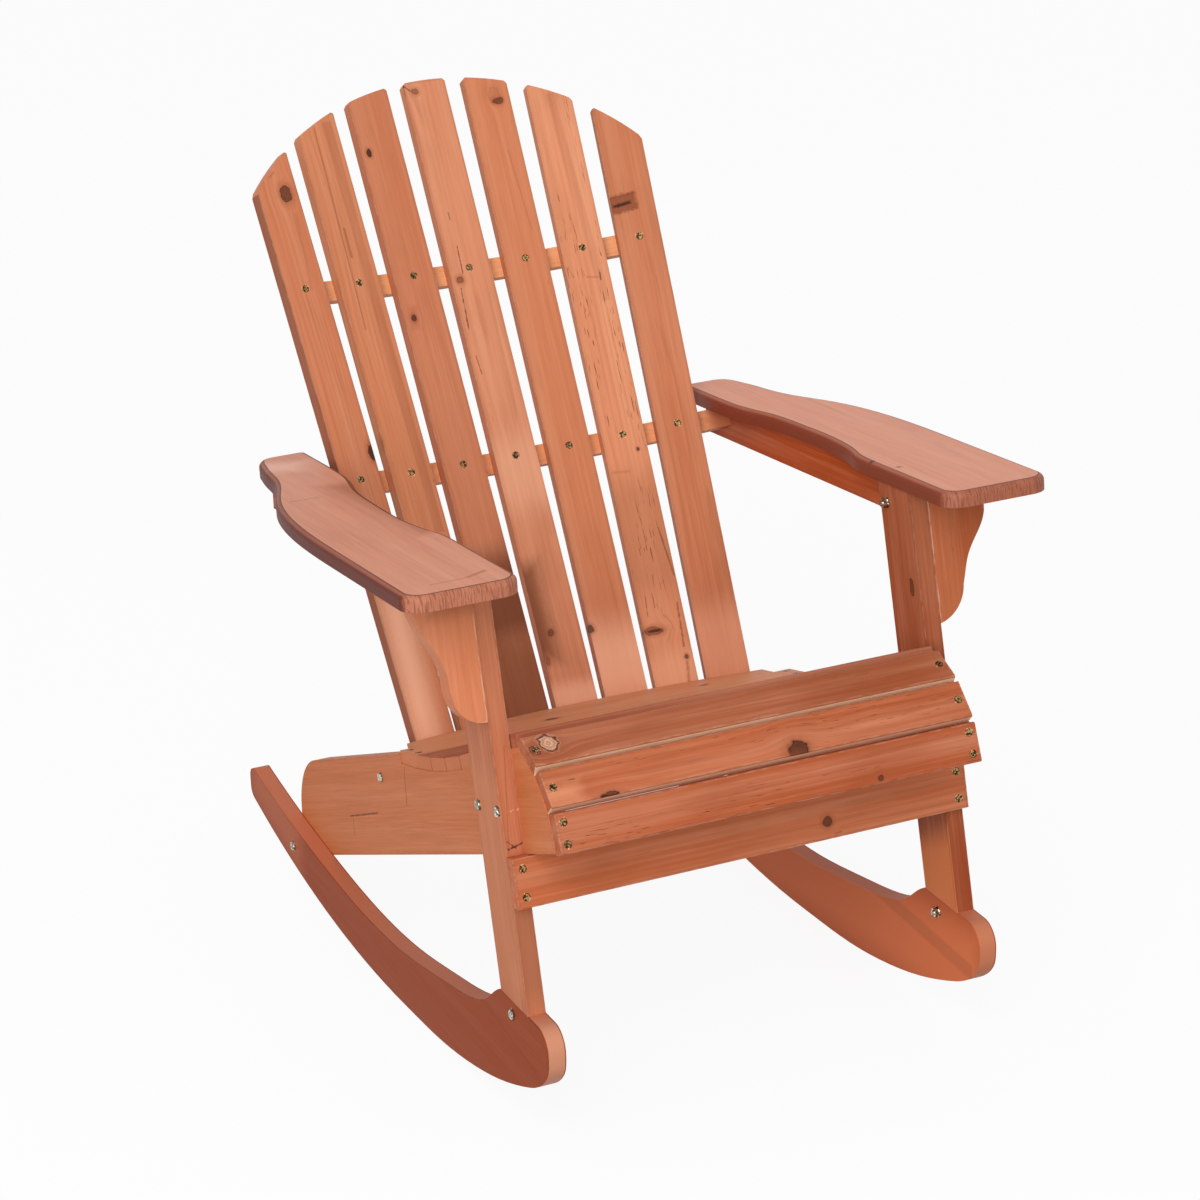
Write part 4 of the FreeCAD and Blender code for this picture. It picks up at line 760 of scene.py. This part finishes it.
def gap_light_edge(g, board, face_place, colour):
    """A pale strip on the front edge of a seat slat: painted light that lifts the shade in the gap between
    slats.
    """
    y, z = g.split(face_place)[1:3]
    front_strip = g.fall(g.plus(y, board.half.y), 0.0008, 0.0018)
    low = g.smooth(g.minus(board.half.z, z), 0.0024, 0.0034)
    patch = g.noise(face_place, (24.0, 200.0, 200.0), detail=2.0)
    share = g.times(front_strip, low, g.smooth(patch, 0.25, 0.55, 0.8, 1.0))
    return g.mix(share, colour, linear(GAP_LIGHT))


def stained_ends(g, board, face_place, colour):
    """The ends of the slats behind the leg, which show over the rail in the rail's own tone."""
    inside = g.minus(board.half.x, g.absolute(g.split(face_place)[0]))
    return g.mix(g.smooth(inside, 0.0004, 0.0012, 0.85, 0.0), colour, linear(RAIL_STAIN))


def paint_seat():
    for n in range(1, 12):
        finish = gap_light_edge if n in (2, 3) else stained_ends if n > 4 else None
        board = Board("seat_slat_%d" % n, FRONT_SLAT_FACES.get(n, TOP_FACE), ACROSS)
        wood_material(board, 2.3 * n + 50, dashes=1.2 if n < 3 else 0.3, pale=0.3 if n < 4 else 0.05,
                      dark=0.15, finish=finish)
    wood_material(Board("front_apron", LEG_FRONT, ACROSS), 71.3, dashes=0.1, pale=0.3)


# How much of the arm's top colour is left on its shoulder, its side and its front end
ARM_EDGES = {
    "arm_left": ((0.50, 0.34, 0.28, 1.0), (0.28, 0.145, 0.11, 1.0), (0.52, 0.42, 0.37, 1.0)),
    "arm_right": ((0.46, 0.30, 0.25, 1.0), (0.170, 0.060, 0.034, 1.0), (0.68, 0.56, 0.49, 1.0)),
}


def rounded_arm_edge(g, board, face_place, colour):
    """The dark line where the arm's flat top meets its rounded edge, and the darker edge below it."""
    x, _, z = g.split(face_place)[:3]
    drop = g.minus(board.half.z, z)
    front = g.fall(g.plus(x, board.half.x), 0.012, 0.022)
    hatch = g.smooth(g.noise(face_place, (60.0, 620.0, 60.0), detail=1.0, distortion=0.3), 0.50, 0.60)
    edge = g.smooth(drop, 0.00015, 0.0005)
    low = g.smooth(drop, 0.0012, 0.0034)
    shoulder, side, end = ARM_EDGES[board.name]
    edge_tone = g.mix(low, g.mix(1.0, colour, shoulder, "MULTIPLY"), g.mix(1.0, colour, side, "MULTIPLY"))
    end_tone = g.mix(g.times(hatch, 0.50), g.mix(1.0, colour, end, "MULTIPLY"), linear(END_HATCH))
    colour = g.mix(edge, colour, g.mix(front, edge_tone, end_tone))
    line = g.times(g.smooth(drop, 0.00001, 0.00005), g.fall(drop, 0.00022, 0.00055))
    return g.mix(g.times(line, 0.85), colour, linear(ARM_LINE))


def paler_rim(g, board, face_place, colour):
    """The narrow faces along a rocker, paler than its wide ones, more so at the nose, and darker towards
    the bottom of the nose.
    """
    x, y, z = g.split(face_place)[:3]
    rim = g.smooth(g.minus(board.half.z, g.absolute(z)), 0.0006, 0.0018)
    nose = g.fall(g.plus(x, board.half.x), 0.020, 0.060)
    rim_tone = g.mix(nose, linear(ROCKER_RIM), linear(ROCKER_NOSES[board.name]))
    tinted = g.mix(g.plus(0.58, g.times(nose, 0.10)), colour, rim_tone)
    low = g.smooth(g.minus(board.half.y, y), 0.015, 0.050, 0.5, 0.0)
    tinted = g.mix(g.times(nose, low), tinted, linear(UNDER_NOSE))
    return g.mix(rim, colour, tinted)


# Boards that each side has: name, face, length, whether straight, seed and the wood's settings
SIDE_BOARDS = [
    ("front_leg_", PHOTO_LEFT, LEG_UP, True, 80.2, {"grain": 0.6, "dashes": 0.1}),
    ("seat_rail_", PHOTO_LEFT, RAIL_BACK, True, 90.7, {"grain": 0.45, "dashes": 0.1}),
    ("rocker_", PHOTO_LEFT, BACKWARD, False, 100.9,
     {"grain": 0.1, "dashes": 0.0, "pale": 0.0, "finish": paler_rim}),
    ("arm_", TOP_FACE, ARM_BACK, False, 110.4,
     {"grain": 0.5, "dashes": 0.0, "pale": 0.0, "dark": 0.0, "finish": rounded_arm_edge}),
    ("arm_support_", PHOTO_LEFT, ARM_BACK, True, 120.6, {"dashes": 0.0, "pale": 0.1}),
    ("arm_bracket_", LEG_FRONT, LEG_UP, False, 130.1,
     {"grain": 0.5, "dashes": 0.0, "pale": 0.6, "dark": 0.1}),
]


def paint_sides():
    for k, side in enumerate(("left", "right")):
        for name, face, length, straight, seed, settings in SIDE_BOARDS:
            board = Board(name + side, face, length, straight)
            if board.name == "arm_bracket_right":
                board.half.x += FULL_BRACKET[-1][1] - CAD_BRACKET_DROP
            wood_material(board, seed + 3 * k, **settings)


# The bracket that is fuller in the photograph than its twin

def shape_full_bracket():
    """Stands for the near bracket: the same head and place, but thicker, with a rounder toe."""
    up = Vector((0, math.sin(LEG_TILT), math.cos(LEG_TILT)))
    back = Vector((0, math.cos(LEG_TILT), -math.sin(LEG_TILT)))
    corners = nodes["arm_bracket_right"].data.vertices
    places = [(vertex.co.x, vertex.co.dot(up), vertex.co.dot(back)) for vertex in corners]
    leg_face = max(place[0] for place in places)
    front = min(place[2] for place in places)
    rear = max(place[2] for place in places)
    head = max(place[1] for place in places if place[2] < front + SAME_PLACE)
    rear_head = max(place[1] for place in places if place[2] > rear - SAME_PLACE)
    rise = (rear_head - head) / (rear - front) * FULL_BRACKET_DEPTH
    width = FULL_BRACKET[0][0]
    points = []
    for depth, top in ((front, 0.0), (front + FULL_BRACKET_DEPTH, rise)):
        for out, drop in [(0.0, -top), (width, -top)] + FULL_BRACKET:
            points.append(Vector((leg_face - out, 0, 0)) + up * (head - drop) + back * depth)
    count = len(points) // 2
    faces = [list(range(count)), [count + k for k in reversed(range(count))]]
    faces += [[k, k + count, (k + 1) % count + count, (k + 1) % count] for k in range(count)]
    shape = bpy.data.meshes.new("full_bracket")
    shape.from_pydata(points, [], faces)
    shape.materials.append(nodes["arm_bracket_right"].material_slots[0].material)
    even = bmesh.new()
    even.from_mesh(shape)
    bmesh.ops.recalc_face_normals(even, faces=even.faces)
    even.to_mesh(shape)
    even.free()
    piece = bpy.data.objects.new("full_bracket", shape)
    bpy.context.scene.collection.objects.link(piece)
    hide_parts("arm_bracket_right")
    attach(piece, "root")


# Metal and dowels

def metal_material(name, tone, roughness, stain):
    """Plated metal with a little uneven dulling."""
    material, g, shader = new_material(name)
    coordinates = g.add("ShaderNodeTexCoord").outputs["Object"]
    dull = g.noise(coordinates, (420.0, 420.0, 420.0), detail=2.0)
    g.put(shader.inputs["Base Color"], g.mix(g.smooth(dull, 0.40, 0.56), linear(tone), linear(stain)))
    g.put(shader.inputs["Roughness"], g.plus(roughness, g.times(dull, 0.2)))
    shader.inputs["Metallic"].default_value = 1.0
    return material


def paint_fasteners():
    brass = metal_material("yellow_plate", YELLOW_PLATE, 0.3, YELLOW_STAIN)
    steel = metal_material("bright_plate", BRIGHT_PLATE, 0.2, BRIGHT_STAIN)
    for name in ("back_slat_screws", "seat_slat_screws", "apron_screws", "arm_screws"):
        paint(name, brass)
    for name in ("frame_bolts", "rocker_tenon_bolts", "batten_lag_screws", "bolt_washers", "bolt_nuts"):
        paint(name, steel)
    material, g, shader = new_material("dowel_wood")
    coordinates = g.add("ShaderNodeTexCoord").outputs["Object"]
    fibre = g.noise(coordinates, (60.0, 900.0, 900.0), detail=3.0)
    g.put(shader.inputs["Base Color"], g.mix(fibre, linear(DOWEL_TONE), linear(DOWEL_FIBRE)))
    shader.inputs["Roughness"].default_value = 0.6
    paint("bracket_dowels", material)


# Floor and light

FLOOR_SIZE = 40
FLOOR_GREY = (0.45, 0.45, 0.45, 1)
FLOOR_SEEN = (0.95, 0.95, 0.95, 1)
FLOOR_GLOW = 0.92
ROOM_LIGHT = 0.56
# Soft lamps: name, place in metres, width in metres, watts
LAMPS = [("window_light", (-2.6, -3.2, 3.4), 3.0, 110.0), ("low_fill_light", (-2.9, -4.6, 1.1), 2.4, 75.0)]
LAMP_TARGET = Vector((0, 0, 0.4))


def seen_ray(g):
    """1 for the camera and reflections, which see a white room; 0 for light that falls on the object."""
    path = g.add("ShaderNodeLightPath").outputs
    seen = g.math("MAXIMUM", path["Is Camera Ray"], path["Is Glossy Ray"])
    return g.math("MAXIMUM", seen, path["Is Transmission Ray"])


def make_floor():
    bpy.ops.mesh.primitive_plane_add(size=FLOOR_SIZE, location=(0, 0, 0))
    floor = bpy.context.object
    floor.name = "floor"
    material, g, shader = new_material("floor_paint")
    seen = seen_ray(g)
    g.put(shader.inputs["Base Color"], g.mix(seen, FLOOR_GREY, FLOOR_SEEN))
    shader.inputs["Roughness"].default_value = 0.9
    shader.inputs["Specular IOR Level"].default_value = 0.0
    white = g.add("ShaderNodeEmission")
    white.inputs["Strength"].default_value = 1.0
    blend = g.add("ShaderNodeMixShader")
    g.put(blend.inputs[0], g.times(seen, FLOOR_GLOW))
    g.put(blend.inputs[1], shader.outputs[0])
    g.put(blend.inputs[2], white.outputs[0])
    output = next(node for node in material.node_tree.nodes if node.type == "OUTPUT_MATERIAL")
    g.put(output.inputs["Surface"], blend.outputs[0])
    floor.data.materials.append(material)


def soft_lamp(name, place, size, energy):
    data = bpy.data.lights.new(name, "AREA")
    data.shape = "SQUARE"
    data.size = size
    data.energy = energy
    lamp = bpy.data.objects.new(name, data)
    lamp.location = place
    lamp.rotation_euler = (LAMP_TARGET - lamp.location).to_track_quat("-Z", "Y").to_euler()
    bpy.context.scene.collection.objects.link(lamp)


def make_light():
    world = bpy.data.worlds.new("pale_room")
    bpy.context.scene.world = world
    world.use_nodes = True
    g = Graph(world.node_tree)
    background = world.node_tree.nodes["Background"]
    background.inputs["Color"].default_value = (1.0, 1.0, 1.0, 1)
    g.put(background.inputs["Strength"], g.plus(ROOM_LIGHT, g.times(seen_ray(g), 1 - ROOM_LIGHT)))
    for settings in LAMPS:
        soft_lamp(*settings)


bpy.context.scene.view_settings.view_transform = "Standard"
make_camera()
paint_back()
paint_seat()
paint_sides()
shape_full_bracket()
paint_fasteners()
make_floor()
make_light()
